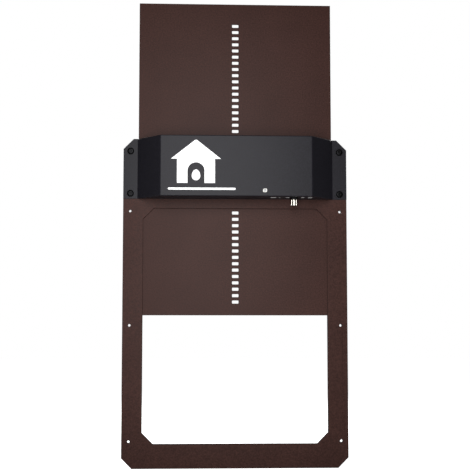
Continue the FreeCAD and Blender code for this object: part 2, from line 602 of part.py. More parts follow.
switch = new_body("selector_switch", x="Dim.selector_x", y=f"-{selector_depth}", z=cover_bottom)
switch_case = new_sketch(switch, PLAN, "Dim.cover_sheet")
circle(switch_case, "0", "0", "Dim.switch_radius")
pad(switch, switch_case, "Dim.switch_height")
switch_bush = new_sketch(switch, PLAN, "-Dim.selector_bush_length")
circle(switch_bush, "0", "0", "Dim.selector_bush")
pad(switch, switch_bush, "Dim.selector_bush_length + Dim.cover_sheet + Dim.overrun")
switch_bore = new_sketch(switch, PLAN, "-Dim.selector_bush_length")
circle(switch_bore, "0", "0", "Dim.knob_stem + Dim.stem_clearance")
switch_end = "Dim.selector_bush_length + Dim.cover_sheet + Dim.switch_height - Dim.switch_end_wall"
cut(switch, switch_bore, switch_end)

nut = new_body("selector_nut", x="Dim.selector_x", y=f"-{selector_depth}",
               z=f"{cover_bottom} - Dim.selector_nut_height")
nut_outline = new_sketch(nut, PLAN)
hexagon(nut_outline, "0", "0", "Dim.selector_nut_flats")
circle(nut_outline, "0", "0", "Dim.selector_bush + Dim.selector_bush_gap / 2")
pad(nut, nut_outline, "Dim.selector_nut_height")

# the knob hangs below the bush, its pointer groove towards the front; the stem is in the switch
knob_top = f"({cover_bottom} - Dim.selector_bush_length - Dim.knob_gap)"
knob = new_body("selector_knob", x="Dim.selector_x", y=f"-{selector_depth}", z=knob_top)
knob_profile = new_sketch(knob, FRONT)
stem_top = f"{switch_end} - Dim.stem_end_gap"
polygon(knob_profile, [
    ("0", "-Dim.knob_length"), ("Dim.knob_radius - Dim.knob_chamfer", "-Dim.knob_length"),
    ("Dim.knob_radius", "-Dim.knob_length + Dim.knob_chamfer"), ("Dim.knob_radius", "0"),
    ("Dim.knob_stem", "0"), ("Dim.knob_stem", stem_top), ("0", stem_top)])
revolve(knob, knob_profile, "V_Axis")
knurl = new_sketch(knob, PLAN, "-Dim.knob_length")
circle(knurl, "Dim.knob_radius + Dim.knurl_radius / 2", "0", "Dim.knurl_radius")
knurl_cut = cut(knob, knurl, "Dim.knob_length")
polar(knob, [knurl_cut], knurl, "N_Axis", "Dim.knurl_count")
pointer = new_sketch(knob, PLAN, "-Dim.knob_length + Dim.pointer_margin")
rectangle(pointer, "-Dim.pointer_width / 2", "-Dim.knob_radius - Dim.overrun",
          "Dim.pointer_width / 2",
          "-Dim.knob_radius + Dim.pointer_depth")
cut(knob, pointer, "Dim.knob_length - Dim.pointer_margin")

# --- drive shaft -----------------------------------------------------------------------------

def on_axis(label, several=False):
    """A body whose origin lies on the drive axis, in the middle of the panel."""
    return new_body(label, y=f"-{axis_depth}", z=axis_height, several=several)


sprocket = on_axis("sprocket")
disc = new_sketch(sprocket, SIDE, f"-{sprocket_edge}")
circle(disc, "0", "0", sprocket_root)
pad(sprocket, disc, "Dim.sprocket_width")
boss = new_sketch(sprocket, SIDE)
circle(boss, "0", "0", "Dim.hub_radius")
pad(sprocket, boss, f"{sprocket_edge} + Dim.hub_length")
tooth = new_sketch(sprocket, SIDE, f"-{sprocket_edge}")
polygon(tooth, [(f"{sprocket_root} - Dim.overrun", "-Dim.tooth_root_half"),
                (sprocket_root, "-Dim.tooth_root_half"),
                (sprocket_tip, "-Dim.tooth_tip_half"), (sprocket_tip, "Dim.tooth_tip_half"),
                (sprocket_root, "Dim.tooth_root_half"),
                (f"{sprocket_root} - Dim.overrun", "Dim.tooth_root_half")])
tooth_pad = pad(sprocket, tooth, "Dim.sprocket_width")
polar(sprocket, [tooth_pad], tooth, "N_Axis", "Dim.sprocket_teeth")
sprocket_bore = new_sketch(sprocket, SIDE, f"-{sprocket_edge}")
circle(sprocket_bore, "0", "0", "Dim.shaft_radius")
cut(sprocket, sprocket_bore)
pin_x = f"({sprocket_edge} + Dim.hub_length / 2)"
pin_hole = new_sketch(sprocket, PLAN, "-Dim.hub_radius")
circle(pin_hole, pin_x, "0", "Dim.pin_radius")
cut(sprocket, pin_hole, "2 * Dim.hub_radius")

pin_part = on_axis("sprocket_pin")
pin_disc = new_sketch(pin_part, PLAN, "-Dim.hub_radius")
circle(pin_disc, pin_x, "0", "Dim.pin_radius")
pad(pin_part, pin_disc, "2 * Dim.hub_radius")

shaft = on_axis("drive_shaft")
shaft_left = f"({clip_start_left} - Dim.shaft_end)"
shaft_right = f"({clip_start_right} + Dim.clip_sheet + Dim.shaft_end)"
rod = new_sketch(shaft, SIDE, shaft_left)
circle(rod, "0", "0", "Dim.shaft_radius")
pad(shaft, rod, f"{shaft_right} - {shaft_left}")
for start in (clip_start_left, clip_start_right):
    groove = new_sketch(shaft, SIDE, start)
    circle(groove, "0", "0", "Dim.shaft_radius + Dim.overrun")
    circle(groove, "0", "0", "Dim.shaft_radius - Dim.clip_groove")
    cut(shaft, groove, "Dim.clip_sheet")
shaft_pin = new_sketch(shaft, PLAN, "-Dim.hub_radius")
circle(shaft_pin, pin_x, "0", "Dim.pin_radius")
cut(shaft, shaft_pin, "2 * Dim.hub_radius")

clips = on_axis("shaft_clips", several=True)
for start in (clip_start_left, clip_start_right):
    clip = new_sketch(clips, SIDE, start)
    circle(clip, "0", "0", "Dim.clip_radius")
    pad(clips, clip, "Dim.clip_sheet")
clip_bore = new_sketch(clips, SIDE, clip_start_left)
circle(clip_bore, "0", "0", "Dim.shaft_radius - Dim.clip_groove")
cut(clips, clip_bore)
clip_mouth = new_sketch(clips, SIDE, clip_start_left)
rectangle(clip_mouth, "-Dim.clip_radius - Dim.overrun", "-Dim.clip_mouth / 2", "0",
          "Dim.clip_mouth / 2")
cut(clips, clip_mouth)

# the wheel's gaps lean as the worm's thread does, and one gap faces the worm in the stored pose
wheel = on_axis("worm_wheel")
wheel_left = "(-Dim.wheel_offset - Dim.wheel_width / 2)"
rim = new_sketch(wheel, SIDE, wheel_left)
circle(rim, "0", "0", wheel_tip)
pad(wheel, rim, "Dim.wheel_width")
wheel_boss = new_sketch(wheel, SIDE, wheel_left)
circle(wheel_boss, "0", "0", "Dim.wheel_hub")
pad(wheel, wheel_boss, "Dim.wheel_width + Dim.wheel_hub_length")
lean = f"({worm_slope} * Dim.wheel_width / 2)"
gap_half = f"({worm_lead} / 2 - Dim.flank_half)"
gap_rise = "(Dim.addendum + Dim.slight_overrun)"
gap_mouth = f"({gap_half} + {gap_rise} * (Dim.flank_slope + Dim.gap_flare))"
gap_floor = f"({gap_half} - Dim.dedendum * Dim.flank_slope * Dim.gap_floor_ease)"
gap = new_sketch(wheel, SIDE, wheel_left)
gap_outer = f"-({wheel_tip} + Dim.slight_overrun)"
gap_inner = f"-({wheel_radius} - Dim.dedendum)"
polygon(gap, [(gap_outer, f"{lean} - {gap_mouth}"), (gap_outer, f"{lean} + {gap_mouth}"),
              (gap_inner, f"{lean} + {gap_floor}"), (gap_inner, f"{lean} - {gap_floor}")])
gap_cut = cut(wheel, gap,
              f"Dim.wheel_width * sqrt(1 + {worm_slope} * {worm_slope}) + Dim.tail_overrun")
gap_cut.UseCustomVector = True
gap_cut.Reversed = False
gap_cut.Direction = FreeCAD.Vector(1, 0, 0)
gap_cut.setExpression("Direction.z", f"-{worm_slope}")
polar(wheel, [gap_cut], gap, "N_Axis", "Dim.wheel_teeth")
wheel_bore = new_sketch(wheel, SIDE, wheel_left)
circle(wheel_bore, "0", "0", "Dim.shaft_radius")
cut(wheel, wheel_bore)

# --- worm ------------------------------------------------------------------------------------

def on_worm(label, several=False):
    """A body whose origin lies on the worm's axis, level with the drive axis."""
    return new_body(label, x="-Dim.wheel_offset", y=f"-{worm_depth}", z=axis_height,
                    several=several)


worm = on_worm("worm")
core = new_sketch(worm, PLAN, "-Dim.worm_length / 2")
circle(core, "0", "0", worm_root)
pad(worm, core, "Dim.worm_length")
thread = new_sketch(worm, SIDE)
thread_start = f"(-{worm_lead} * Dim.worm_turns / 2)"
crest_half = "(Dim.flank_half - Dim.addendum * Dim.flank_slope)"
foot_half = "(Dim.flank_half + Dim.dedendum * Dim.flank_slope)"
polygon(thread, [(f"{worm_root} - Dim.slight_overrun", f"{thread_start} - {foot_half}"),
                 (worm_root, f"{thread_start} - {foot_half}"),
                 (worm_tip, f"{thread_start} - {crest_half}"),
                 (worm_tip, f"{thread_start} + {crest_half}"),
                 (worm_root, f"{thread_start} + {foot_half}"),
                 (f"{worm_root} - Dim.slight_overrun", f"{thread_start} + {foot_half}")])
doc.recompute()
helix = worm.newObject("PartDesign::AdditiveHelix", "thread")
helix.Profile = thread
helix.ReferenceAxis = (thread, ["V_Axis"])
helix.Mode = 0
helix.setExpression("Pitch", worm_lead)
helix.setExpression("Height", f"{worm_lead} * Dim.worm_turns")
worm_bore = new_sketch(worm, PLAN, "-Dim.worm_length / 2")
circle(worm_bore, "0", "0", "Dim.motor_shaft")
cut(worm, worm_bore)

motor_shaft = on_worm("motor_shaft")
rotor_start = "(Dim.housing_rise - Dim.rotor_end_gap)"
rotor = new_sketch(motor_shaft, PLAN, f"-{rotor_start}")
circle(rotor, "0", "0", "Dim.motor_shaft")
pad(motor_shaft, rotor, f"2 * {rotor_start} + Dim.rotor_bite")

motor = on_worm("motor")
can = new_sketch(motor, PLAN, "Dim.housing_rise")
circle(can, "0", "0", "Dim.motor_radius")
pad(motor, can, "Dim.motor_length")
for side in (-1, 1):
    flat = new_sketch(motor, PLAN, "Dim.housing_rise")
    rectangle(flat, "-Dim.motor_radius - Dim.overrun", f"{side} * Dim.motor_flat",
              "Dim.motor_radius + Dim.overrun", f"{side} * (Dim.motor_radius + Dim.overrun)")
    cut(motor, flat)
motor_boss = new_sketch(motor, PLAN, "Dim.housing_rise - Dim.motor_boss_length")
circle(motor_boss, "0", "0", "Dim.motor_boss")
pad(motor, motor_boss, "Dim.motor_boss_length + Dim.overrun")
motor_tail = new_sketch(motor, PLAN, "Dim.housing_rise + Dim.motor_length - Dim.overrun")
circle(motor_tail, "0", "0", "Dim.motor_tail_radius")
pad(motor, motor_tail, "Dim.motor_tail + Dim.overrun")
rotor_bore = new_sketch(motor, PLAN, "Dim.housing_rise - Dim.motor_boss_length")
circle(rotor_bore, "0", "0", "Dim.motor_shaft + Dim.shaft_clearance")
cut(motor, rotor_bore, "Dim.housing_rise + Dim.rotor_bite")

# --- gear housing ----------------------------------------------------------------------------

housing = new_body("gear_housing", x="-Dim.wheel_offset", y=f"-{front_depth}", z=axis_height)
block = new_sketch(housing, FRONT)
rectangle(block, "-Dim.housing_width / 2", "-Dim.housing_rise", "Dim.housing_width / 2",
          "Dim.housing_rise")
pad(housing, block, f"{housing_inner_depth} + Dim.housing_wall")
feet = new_sketch(housing, FRONT)
rectangle(feet, "-Dim.housing_width / 2", "-(Dim.housing_rise + Dim.foot_height)",
          "Dim.housing_width / 2", "Dim.housing_rise + Dim.foot_height")
pad(housing, feet, "Dim.foot_sheet")
cavity = new_sketch(housing, FRONT)
rectangle(cavity, f"-{housing_inner} / 2", "-(Dim.housing_rise - Dim.housing_end_wall)",
          f"{housing_inner} / 2", "Dim.housing_rise - Dim.housing_end_wall")
cut(housing, cavity, housing_inner_depth)
shaft_bore = new_sketch(housing, SIDE, "-Dim.housing_width / 2")
circle(shaft_bore, f"-{plate_reach}", "0", bush_radius)
cut(housing, shaft_bore, "Dim.housing_width")
worm_y = f"-({worm_depth} - {front_depth})"
low_bore = new_sketch(housing, PLAN, "-Dim.housing_rise")
circle(low_bore, "0", worm_y, "Dim.motor_shaft + Dim.shaft_clearance")
cut(housing, low_bore, "Dim.housing_end_wall")
high_bore = new_sketch(housing, PLAN, "Dim.housing_rise - Dim.housing_end_wall")
circle(high_bore, "0", worm_y, "Dim.motor_boss + Dim.motor_boss_gap")
cut(housing, high_bore, "Dim.housing_end_wall")
screw_bores = new_sketch(housing, PLAN, "Dim.housing_rise - Dim.housing_end_wall")
for side in (-1, 1):
    circle(screw_bores, f"{side} * Dim.motor_screw_offset", worm_y, "Dim.motor_screw_hole")
cut(housing, screw_bores, "Dim.housing_end_wall")
foot_holes = new_sketch(housing, FRONT)
for side in (-1, 1):
    for level in (-1, 1):
        circle(foot_holes, f"{side} * {foot_screw_x}", f"{level} * {foot_screw_z}",
               "Dim.small_clearance_hole")
cut(housing, foot_holes, "Dim.foot_sheet")

# two short screws go up through the housing's end wall into the motor
motor_screws = on_worm("motor_screws", several=True)
motor_screws.setExpression("Placement.Base.x", "-Dim.wheel_offset - Dim.motor_screw_offset")
screw_side = new_sketch(motor_screws, FRONT)
wall_low = "(Dim.housing_rise - Dim.housing_end_wall)"
head_end = f"{wall_low} - Dim.motor_screw_head_height"
screw_end = "Dim.housing_rise - Dim.motor_screw_end_gap"
polygon(screw_side, [("0", head_end), ("Dim.motor_screw_head", head_end),
                     ("Dim.motor_screw_head", wall_low), ("Dim.motor_screw", wall_low),
                     ("Dim.motor_screw", screw_end), ("0", screw_end)])
revolve(motor_screws, screw_side, "V_Axis")
row(motor_screws, [], screw_side, "H_Axis", "2", "2 * Dim.motor_screw_offset")

screws("housing_screws", f"-Dim.wheel_offset - {foot_screw_x}", f"{front_depth} + Dim.foot_sheet",
       f"{axis_height} - {foot_screw_z}", small_size, "Dim.foot_screw_spacing",
       f"2 * {foot_screw_z}", "Dim.foot_sheet + Dim.front_sheet - Dim.small_end_gap")


def bush(label, start, length, flange_side):
    """A flanged plain bush for the drive shaft. The flange is outside on flange_side."""
    body = on_axis(label)
    sleeve = new_sketch(body, SIDE, start)
    circle(sleeve, "0", "0", bush_radius)
    circle(sleeve, "0", "0", bush_bore)
    pad(body, sleeve, length)
    seat = f"{start} + {length}" if flange_side > 0 else f"{start} - Dim.bush_flange_sheet"
    flange = new_sketch(body, SIDE, seat)
    circle(flange, "0", "0", f"{bush_radius} + Dim.bush_flange")
    circle(flange, "0", "0", bush_bore)
    pad(body, flange, "Dim.bush_flange_sheet")


bush("shaft_bush_left", housing_left, "Dim.housing_wall", -1)
bush("shaft_bush_middle", f"{housing_right} - Dim.housing_wall", "Dim.housing_wall", 1)
bush("shaft_bush_right", "Dim.bracket_start", "Dim.bracket_sheet", 1)

# bracket for the shaft's right end: a bent plate whose foot is screwed to the front plate
bracket = new_body("bearing_bracket", y=f"-{front_depth}", z=axis_height)
bend = new_sketch(bracket, PLAN, "-Dim.bracket_width / 2")
bracket_tall = f"({plate_reach} + {bush_radius} + Dim.bracket_rim)"
polygon(bend, [("Dim.bracket_start", "0"), (f"{bracket_end} + Dim.bracket_foot", "0"),
               (f"{bracket_end} + Dim.bracket_foot", "-Dim.bracket_sheet"),
               (bracket_end, "-Dim.bracket_sheet"), (bracket_end, f"-{bracket_tall}"),
               ("Dim.bracket_start", f"-{bracket_tall}")])
pad(bracket, bend, "Dim.bracket_width")
bracket_bore = new_sketch(bracket, SIDE, "Dim.bracket_start")
circle(bracket_bore, f"-{plate_reach}", "0", bush_radius)
cut(bracket, bracket_bore, "Dim.bracket_sheet")
bracket_holes = new_sketch(bracket, FRONT)
for side in (-1, 1):
    circle(bracket_holes, bracket_screw_x, f"{side} * Dim.bracket_screw_spacing / 2",
           "Dim.small_clearance_hole")
cut(bracket, bracket_holes, "Dim.bracket_sheet")
screws("bracket_screws", bracket_screw_x, f"{front_depth} + Dim.bracket_sheet",
       f"{axis_height} - Dim.bracket_screw_spacing / 2", small_size, None,
       "Dim.bracket_screw_spacing", "Dim.bracket_sheet + Dim.front_sheet - Dim.small_end_gap")

# --- batteries -------------------------------------------------------------------------------

tray = new_body("battery_holder", x="Dim.holder_x", y=f"-{front_depth}", z=tray_bottom)
tray_block = new_sketch(tray, FRONT)
rectangle(tray_block, "0", "0", tray_length, tray_height)
pad(tray, tray_block, "Dim.tray_depth")
bay = new_sketch(tray, FRONT, "Dim.tray_floor")
rectangle(bay, "Dim.tray_wall", "Dim.tray_wall", f"{tray_length} - Dim.tray_wall",
          f"{tray_height} - Dim.tray_wall")
cut(tray, bay)
tray_holes = new_sketch(tray, FRONT)
for level in (0, 1):
    circle(tray_holes, f"{tray_length} / 2",
           f"Dim.tray_wall + Dim.cell_pitch + {level} * {tray_screw_spacing}",
           "Dim.small_clearance_hole")
cut(tray, tray_holes, "Dim.tray_floor")
screws("battery_screws", tray_screw_x, f"{front_depth} + Dim.tray_floor", tray_screw_low,
       ("Dim.small_screw", "Dim.small_head", "Dim.tray_head_height", "Dim.small_socket"),
       None, tray_screw_spacing, "Dim.tray_floor + Dim.front_sheet - Dim.small_end_gap")

cell_first_z = f"({tray_bottom} + Dim.tray_wall + Dim.cell_pitch / 2)"
cell_depth = f"({front_depth} + Dim.tray_floor + Dim.cell_gap + Dim.cell_radius)"
cell_start = "(Dim.holder_x + Dim.tray_wall + Dim.contact_sheet + Dim.contact_play / 2)"
cells = new_body("battery_cells", x=cell_start, y=f"-{cell_depth}", z=cell_first_z, several=True)
can_side = new_sketch(cells, FRONT)
polygon(can_side, [("0", "0"), ("0", "Dim.cell_radius"), ("Dim.cell_length", "Dim.cell_radius"),
                   ("Dim.cell_length", "Dim.cell_button"),
                   ("Dim.cell_length + Dim.cell_button_length", "Dim.cell_button"),
                   ("Dim.cell_length + Dim.cell_button_length", "0")])
revolve(cells, can_side, "H_Axis")
row(cells, [], can_side, "V_Axis", "Dim.cell_count", "Dim.cell_pitch")

contacts = new_body("battery_contacts", x="Dim.holder_x + Dim.tray_wall", y=f"-{cell_depth}",
                    z=cell_first_z, several=True)
contact_side = new_sketch(contacts, SIDE)
rectangle(contact_side, "-Dim.contact_side / 2", "-Dim.contact_side / 2", "Dim.contact_side / 2",
          "Dim.contact_side / 2")
pad(contacts, contact_side, "Dim.contact_sheet")
row(contacts, [], contact_side, "V_Axis", "Dim.cell_count", "Dim.cell_pitch")
row(contacts, [], contact_side, "N_Axis", "2", f"{tray_inner} - Dim.contact_sheet")

# --- controller ------------------------------------------------------------------------------

board = new_body("controller_board", x=board_left, y=f"-{board_depth}", z=board_bottom)
board_outline = new_sketch(board, FRONT)
rectangle(board_outline, "0", "0", "Dim.board_width", "Dim.board_height")
pad(board, board_outline, "Dim.board_sheet")
board_holes = new_sketch(board, FRONT)
for column in (0, 1):
    for level in (0, 1):
        circle(board_holes, f"Dim.board_hole_inset + {column} * {board_hole_span}",
               f"Dim.board_hole_inset + {level} * {board_hole_rise}", "Dim.small_clearance_hole")
cut(board, board_holes)

hole_x = f"({board_left} + Dim.board_hole_inset)"
hole_z = f"({board_bottom} + Dim.board_hole_inset)"
spacers = new_body("board_spacers", x=hole_x, y=f"-{front_depth}", z=hole_z, several=True)
spacer_ring = new_sketch(spacers, FRONT)
circle(spacer_ring, "0", "0", "Dim.spacer_radius")
circle(spacer_ring, "0", "0", "Dim.small_clearance_hole")
pad(spacers, spacer_ring, "Dim.spacer_length")
row(spacers, [], spacer_ring, "H_Axis", "2", board_hole_span)
row(spacers, [], spacer_ring, "V_Axis", "2", board_hole_rise)
screws("board_screws", hole_x, f"{board_depth} + Dim.board_sheet", hole_z, small_size,
       board_hole_span, board_hole_rise,
       "Dim.board_sheet + Dim.spacer_length + Dim.front_sheet - Dim.small_end_gap")

board_face = f"({board_depth} + Dim.board_sheet)"
chip = new_body("controller_chip", x=f"{board_left} + Dim.chip_x", y=f"-{board_face}",
                z=f"{board_bottom} + Dim.chip_rise")
chip_outline = new_sketch(chip, FRONT)
rectangle(chip_outline, "-Dim.chip_side / 2", "-Dim.chip_side / 2", "Dim.chip_side / 2",
          "Dim.chip_side / 2")
pad(chip, chip_outline, "Dim.chip_height")

capacitors = new_body("board_capacitors", x=f"{board_left} + Dim.capacitor_x",
                      y=f"-{board_face}", z=f"{board_bottom} + Dim.capacitor_rise",
                      several=True)
capacitor_can = new_sketch(capacitors, FRONT)
circle(capacitor_can, "0", "0", "Dim.capacitor_radius")
pad(capacitors, capacitor_can, "Dim.capacitor_height")
row(capacitors, [], capacitor_can, "H_Axis", "2", "Dim.capacitor_spacing")

terminals = new_body("board_terminals", x=f"{board_left} + Dim.terminal_x",
                     y=f"-{board_face}", z=f"{board_bottom} + Dim.board_height - Dim.terminal_drop")
terminal_block = new_sketch(terminals, FRONT)
rectangle(terminal_block, "0", "0", "Dim.terminal_pitch * Dim.terminal_count",
          "Dim.terminal_depth")
pad(terminals, terminal_block, "Dim.terminal_height")
wire_mouth = new_sketch(terminals, PLAN, "Dim.terminal_depth - Dim.wire_bite")
circle(wire_mouth, "Dim.terminal_pitch / 2", "-Dim.wire_rise", "Dim.wire_hole")
mouth = cut(terminals, wire_mouth, "Dim.wire_bite")
row(terminals, [mouth], wire_mouth, "H_Axis", "Dim.terminal_count", "Dim.terminal_pitch")

# --- check and write -------------------------------------------------------------------------

doc.recompute()
faults = []
for item in doc.Objects:
    if {"Invalid", "Error"} & set(item.State):
        faults.append(f"{item.Label} of {item.getParentGeoFeatureGroup()} failed")
    if item.isDerivedFrom("PartDesign::Pocket"):
        if item.BaseFeature.Shape.Volume - item.Shape.Volume < 0.001:
            faults.append(f"{item.Label} of {item.getParentGeoFeatureGroup().Label} cuts nothing")
for node in nodes:
    if node.Shape.isNull() or not node.Shape.isValid() or not node.Shape.Solids:
        faults.append(f"{node.Label} has no valid solid")
if faults:
    raise RuntimeError("; ".join(faults))

os.makedirs("parts", exist_ok=True)
for node in nodes:
    node.Shape.exportStep(f"parts/{node.Label}.step")
    print(node.Label, len(node.Shape.Solids), round(node.Shape.Volume, 1))
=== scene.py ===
"""The looks of an automatic coop door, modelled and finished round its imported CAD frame."""

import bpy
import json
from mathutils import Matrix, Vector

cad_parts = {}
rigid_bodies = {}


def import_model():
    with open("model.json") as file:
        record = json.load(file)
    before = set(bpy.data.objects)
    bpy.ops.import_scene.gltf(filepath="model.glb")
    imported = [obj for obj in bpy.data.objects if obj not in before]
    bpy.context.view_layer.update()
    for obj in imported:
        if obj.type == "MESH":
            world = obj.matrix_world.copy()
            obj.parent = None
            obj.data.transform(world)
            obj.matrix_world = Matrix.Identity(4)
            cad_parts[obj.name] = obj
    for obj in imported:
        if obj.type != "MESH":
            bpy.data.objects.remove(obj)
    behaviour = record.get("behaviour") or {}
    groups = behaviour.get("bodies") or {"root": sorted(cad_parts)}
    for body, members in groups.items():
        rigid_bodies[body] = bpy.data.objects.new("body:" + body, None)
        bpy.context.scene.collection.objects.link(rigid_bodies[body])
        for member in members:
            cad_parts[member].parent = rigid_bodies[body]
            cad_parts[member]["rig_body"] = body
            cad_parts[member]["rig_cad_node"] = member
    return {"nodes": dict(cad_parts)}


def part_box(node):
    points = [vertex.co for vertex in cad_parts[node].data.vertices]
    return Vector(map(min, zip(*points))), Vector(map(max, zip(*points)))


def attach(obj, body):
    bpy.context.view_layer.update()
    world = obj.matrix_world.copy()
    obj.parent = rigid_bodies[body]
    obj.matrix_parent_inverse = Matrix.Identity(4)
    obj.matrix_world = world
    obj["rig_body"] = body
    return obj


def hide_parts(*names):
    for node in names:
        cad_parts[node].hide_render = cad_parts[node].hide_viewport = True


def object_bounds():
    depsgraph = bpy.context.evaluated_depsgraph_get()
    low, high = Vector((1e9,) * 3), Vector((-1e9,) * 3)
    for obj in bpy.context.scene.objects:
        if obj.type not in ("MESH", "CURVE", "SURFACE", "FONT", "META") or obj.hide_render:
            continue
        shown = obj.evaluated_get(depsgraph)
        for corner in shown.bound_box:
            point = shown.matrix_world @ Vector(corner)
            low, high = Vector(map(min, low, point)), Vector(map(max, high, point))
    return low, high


bl_info = {
    "name": "Automatic Coop Door",
    "version": (1, 0, 0),
    "blender": (4, 5, 0),
    "location": "3D View > Sidebar > Coop Door",
    "description": "Models and finishes the pieces of a sliding coop door round its CAD frame",
    "category": "Object",
}

import json
import math

import bmesh
import bpy
from bpy.props import FloatProperty, FloatVectorProperty, IntProperty, PointerProperty
from bpy.types import Operator, Panel, PropertyGroup
from mathutils import Vector

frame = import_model()
cad_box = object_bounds()

MM = 0.001
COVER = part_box("cover")
QUARTER_TURN = math.radians(90)
# turned so, a flat primitive lies along the cover's face, and a cylinder stands straight out of it
FACE_ON = (QUARTER_TURN, 0, 0)
# a face looks along an axis when at least this share of its normal lies on it
FACING = 0.9


def linear(code):
    """An sRGB hex colour as linear red, green, blue and full alpha."""
    parts = [int(code[place:place + 2], 16) / 255 for place in (1, 3, 5)]
    return [part / 12.92 if part <= 0.04045 else ((part + 0.055) / 1.055) ** 2.4
            for part in parts] + [1.0]


# --- the sizes and colours that a user would change ----------------------------------------------


class CoopPlateSettings(PropertyGroup):
    edge_radius: FloatProperty(
        name="Edge radius", description="Rounding that the coat gives the sheets' cut edges",
        default=0.5 * MM, min=0.0, unit="LENGTH", precision=5)


class CoopCoverSettings(PropertyGroup):
    sheet: FloatProperty(
        name="Sheet", description="Thickness of the cover's sheet metal",
        default=1.2 * MM, min=0.0, unit="LENGTH", precision=5)
    face_half: FloatProperty(
        name="Half face", description="Half the width of the flat face",
        default=106.8 * MM, unit="LENGTH", precision=5)
    base_half: FloatProperty(
        name="Half base", description="Half the width between the ears, at the frame plate",
        default=140.8 * MM, unit="LENGTH", precision=5)
    bend_radius: FloatProperty(
        name="Bend radius", description="Outer radius of the folds and closed corners",
        default=1.3 * MM, min=0.0, unit="LENGTH", precision=5)
    ear_corner: FloatProperty(
        name="Ear corner", description="Length cut off the ears' top outer corners",
        default=14.5 * MM, unit="LENGTH", precision=5)
    ear_hole: FloatProperty(
        name="Ear hole", description="Radius of the screw holes in the ears",
        default=2.7 * MM, unit="LENGTH", precision=5)


class CoopScrewSettings(PropertyGroup):
    across: FloatProperty(
        name="Across", description="Distance of the screws from the middle of the cover",
        default=149.8 * MM, unit="LENGTH", precision=5)
    low: FloatProperty(
        name="Lower height", description="Height of the lower screws",
        default=187.5 * MM, unit="LENGTH", precision=5)
    high: FloatProperty(
        name="Upper height", description="Height of the upper screws",
        default=248.4 * MM, unit="LENGTH", precision=5)
    head_radius: FloatProperty(
        name="Head radius", description="Radius of the button heads",
        default=4.9 * MM, unit="LENGTH", precision=5)
    head_height: FloatProperty(
        name="Head height", description="Height of the button heads",
        default=2.75 * MM, unit="LENGTH", precision=5)
    shank_radius: FloatProperty(
        name="Shank radius", description="Radius of the screws' shanks",
        default=2.45 * MM, unit="LENGTH", precision=5)
    socket: FloatProperty(
        name="Socket", description="Width across the flats of the hexagon sockets",
        default=3.2 * MM, unit="LENGTH", precision=5)


class CoopSelectorSettings(PropertyGroup):
    knob_radius: FloatProperty(
        name="Knob radius", description="Outer radius of the knurled knob",
        default=3.95 * MM, unit="LENGTH", precision=5)
    knurls: IntProperty(
        name="Knurls", description="Number of straight ridges round the knob",
        default=36, min=8)
    knurl_depth: FloatProperty(
        name="Knurl depth", description="Depth of the valleys between the ridges",
        default=0.3 * MM, unit="LENGTH", precision=5)
    groove: FloatProperty(
        name="Pointer groove", description="Width of the groove that shows the setting",
        default=1.2 * MM, unit="LENGTH", precision=5)
    nut_flats: FloatProperty(
        name="Nut flats", description="Width across the flats of the nut",
        default=10.0 * MM, unit="LENGTH", precision=5)


class CoopPrintSettings(PropertyGroup):
    ink: FloatProperty(
        name="Ink", description="Height of the printed ink above the coat",
        default=0.06 * MM, unit="LENGTH", precision=5)
    emblem_x: FloatProperty(
        name="Emblem middle", description="Middle of the coop emblem across the face",
        default=-56.8 * MM, unit="LENGTH", precision=5)
    emblem_z: FloatProperty(
        name="Emblem foot", description="Height of the foot of the coop emblem",
        default=198.0 * MM, unit="LENGTH", precision=5)
    emblem_width: FloatProperty(
        name="Emblem width", description="Width of the emblem's roof at the eaves",
        default=70.0 * MM, unit="LENGTH", precision=5)
    emblem_height: FloatProperty(
        name="Emblem height", description="Height of the emblem to its ridge",
        default=61.0 * MM, unit="LENGTH", precision=5)
    rule_length: FloatProperty(
        name="Rule length", description="Length of the plain rule under the emblem",
        default=94.6 * MM, unit="LENGTH", precision=5)
    rule_height: FloatProperty(
        name="Rule height", description="Height of the plain rule under the emblem",
        default=3.0 * MM, unit="LENGTH", precision=5)


class CoopFinishSettings(PropertyGroup):
    brown: FloatVectorProperty(
        name="Brown coat", description="Colour of the powder coat on the frame and the panel",
        default=linear("#37231f")[:3], subtype="COLOR", min=0.0, max=1.0)
    black: FloatVectorProperty(
        name="Black coat", description="Colour of the powder coat on the cover",
        default=linear("#1b1a1f")[:3], subtype="COLOR", min=0.0, max=1.0)


class CoopStudioSettings(PropertyGroup):
    lens: FloatProperty(
        name="Lens", description="Focal length of the camera in millimetres",
        default=84.26, min=1.0, unit="CAMERA")
    camera: FloatVectorProperty(
        name="Camera", description="Where the camera stands",
        default=(-72.0 * MM, -1569.5 * MM, -8.3 * MM), subtype="TRANSLATION")
    camera_tilt: FloatProperty(
        name="Camera tilt", description="How far the camera looks up from straight down",
        default=math.radians(95.0), unit="ROTATION")
    camera_roll: FloatProperty(
        name="Camera roll", description="How far the camera is turned about its own line of sight",
        default=0.0, unit="ROTATION")
    camera_turn: FloatProperty(
        name="Camera turn", description="How far the camera is turned about the upright",
        default=math.radians(-2.62), unit="ROTATION")
    softbox_power: FloatProperty(
        name="Softbox power", description="Power of the tall softbox in front",
        default=5.6, min=0.0, unit="POWER")
    softbox_size: FloatProperty(
        name="Softbox size", description="Width of the tall softbox in front",
        default=330.0 * MM, unit="LENGTH")
    ambient: FloatProperty(
        name="Ambient", description="Strength of the light that the pale room gives back",
        default=0.07, min=0.0)


class CoopDoorSettings(PropertyGroup):
    plates: PointerProperty(type=CoopPlateSettings)
    cover: PointerProperty(type=CoopCoverSettings)
    screws: PointerProperty(type=CoopScrewSettings)
    selector: PointerProperty(type=CoopSelectorSettings)
    printing: PointerProperty(type=CoopPrintSettings)
    finish: PointerProperty(type=CoopFinishSettings)
    studio: PointerProperty(type=CoopStudioSettings)


# --- materials -----------------------------------------------------------------------------------


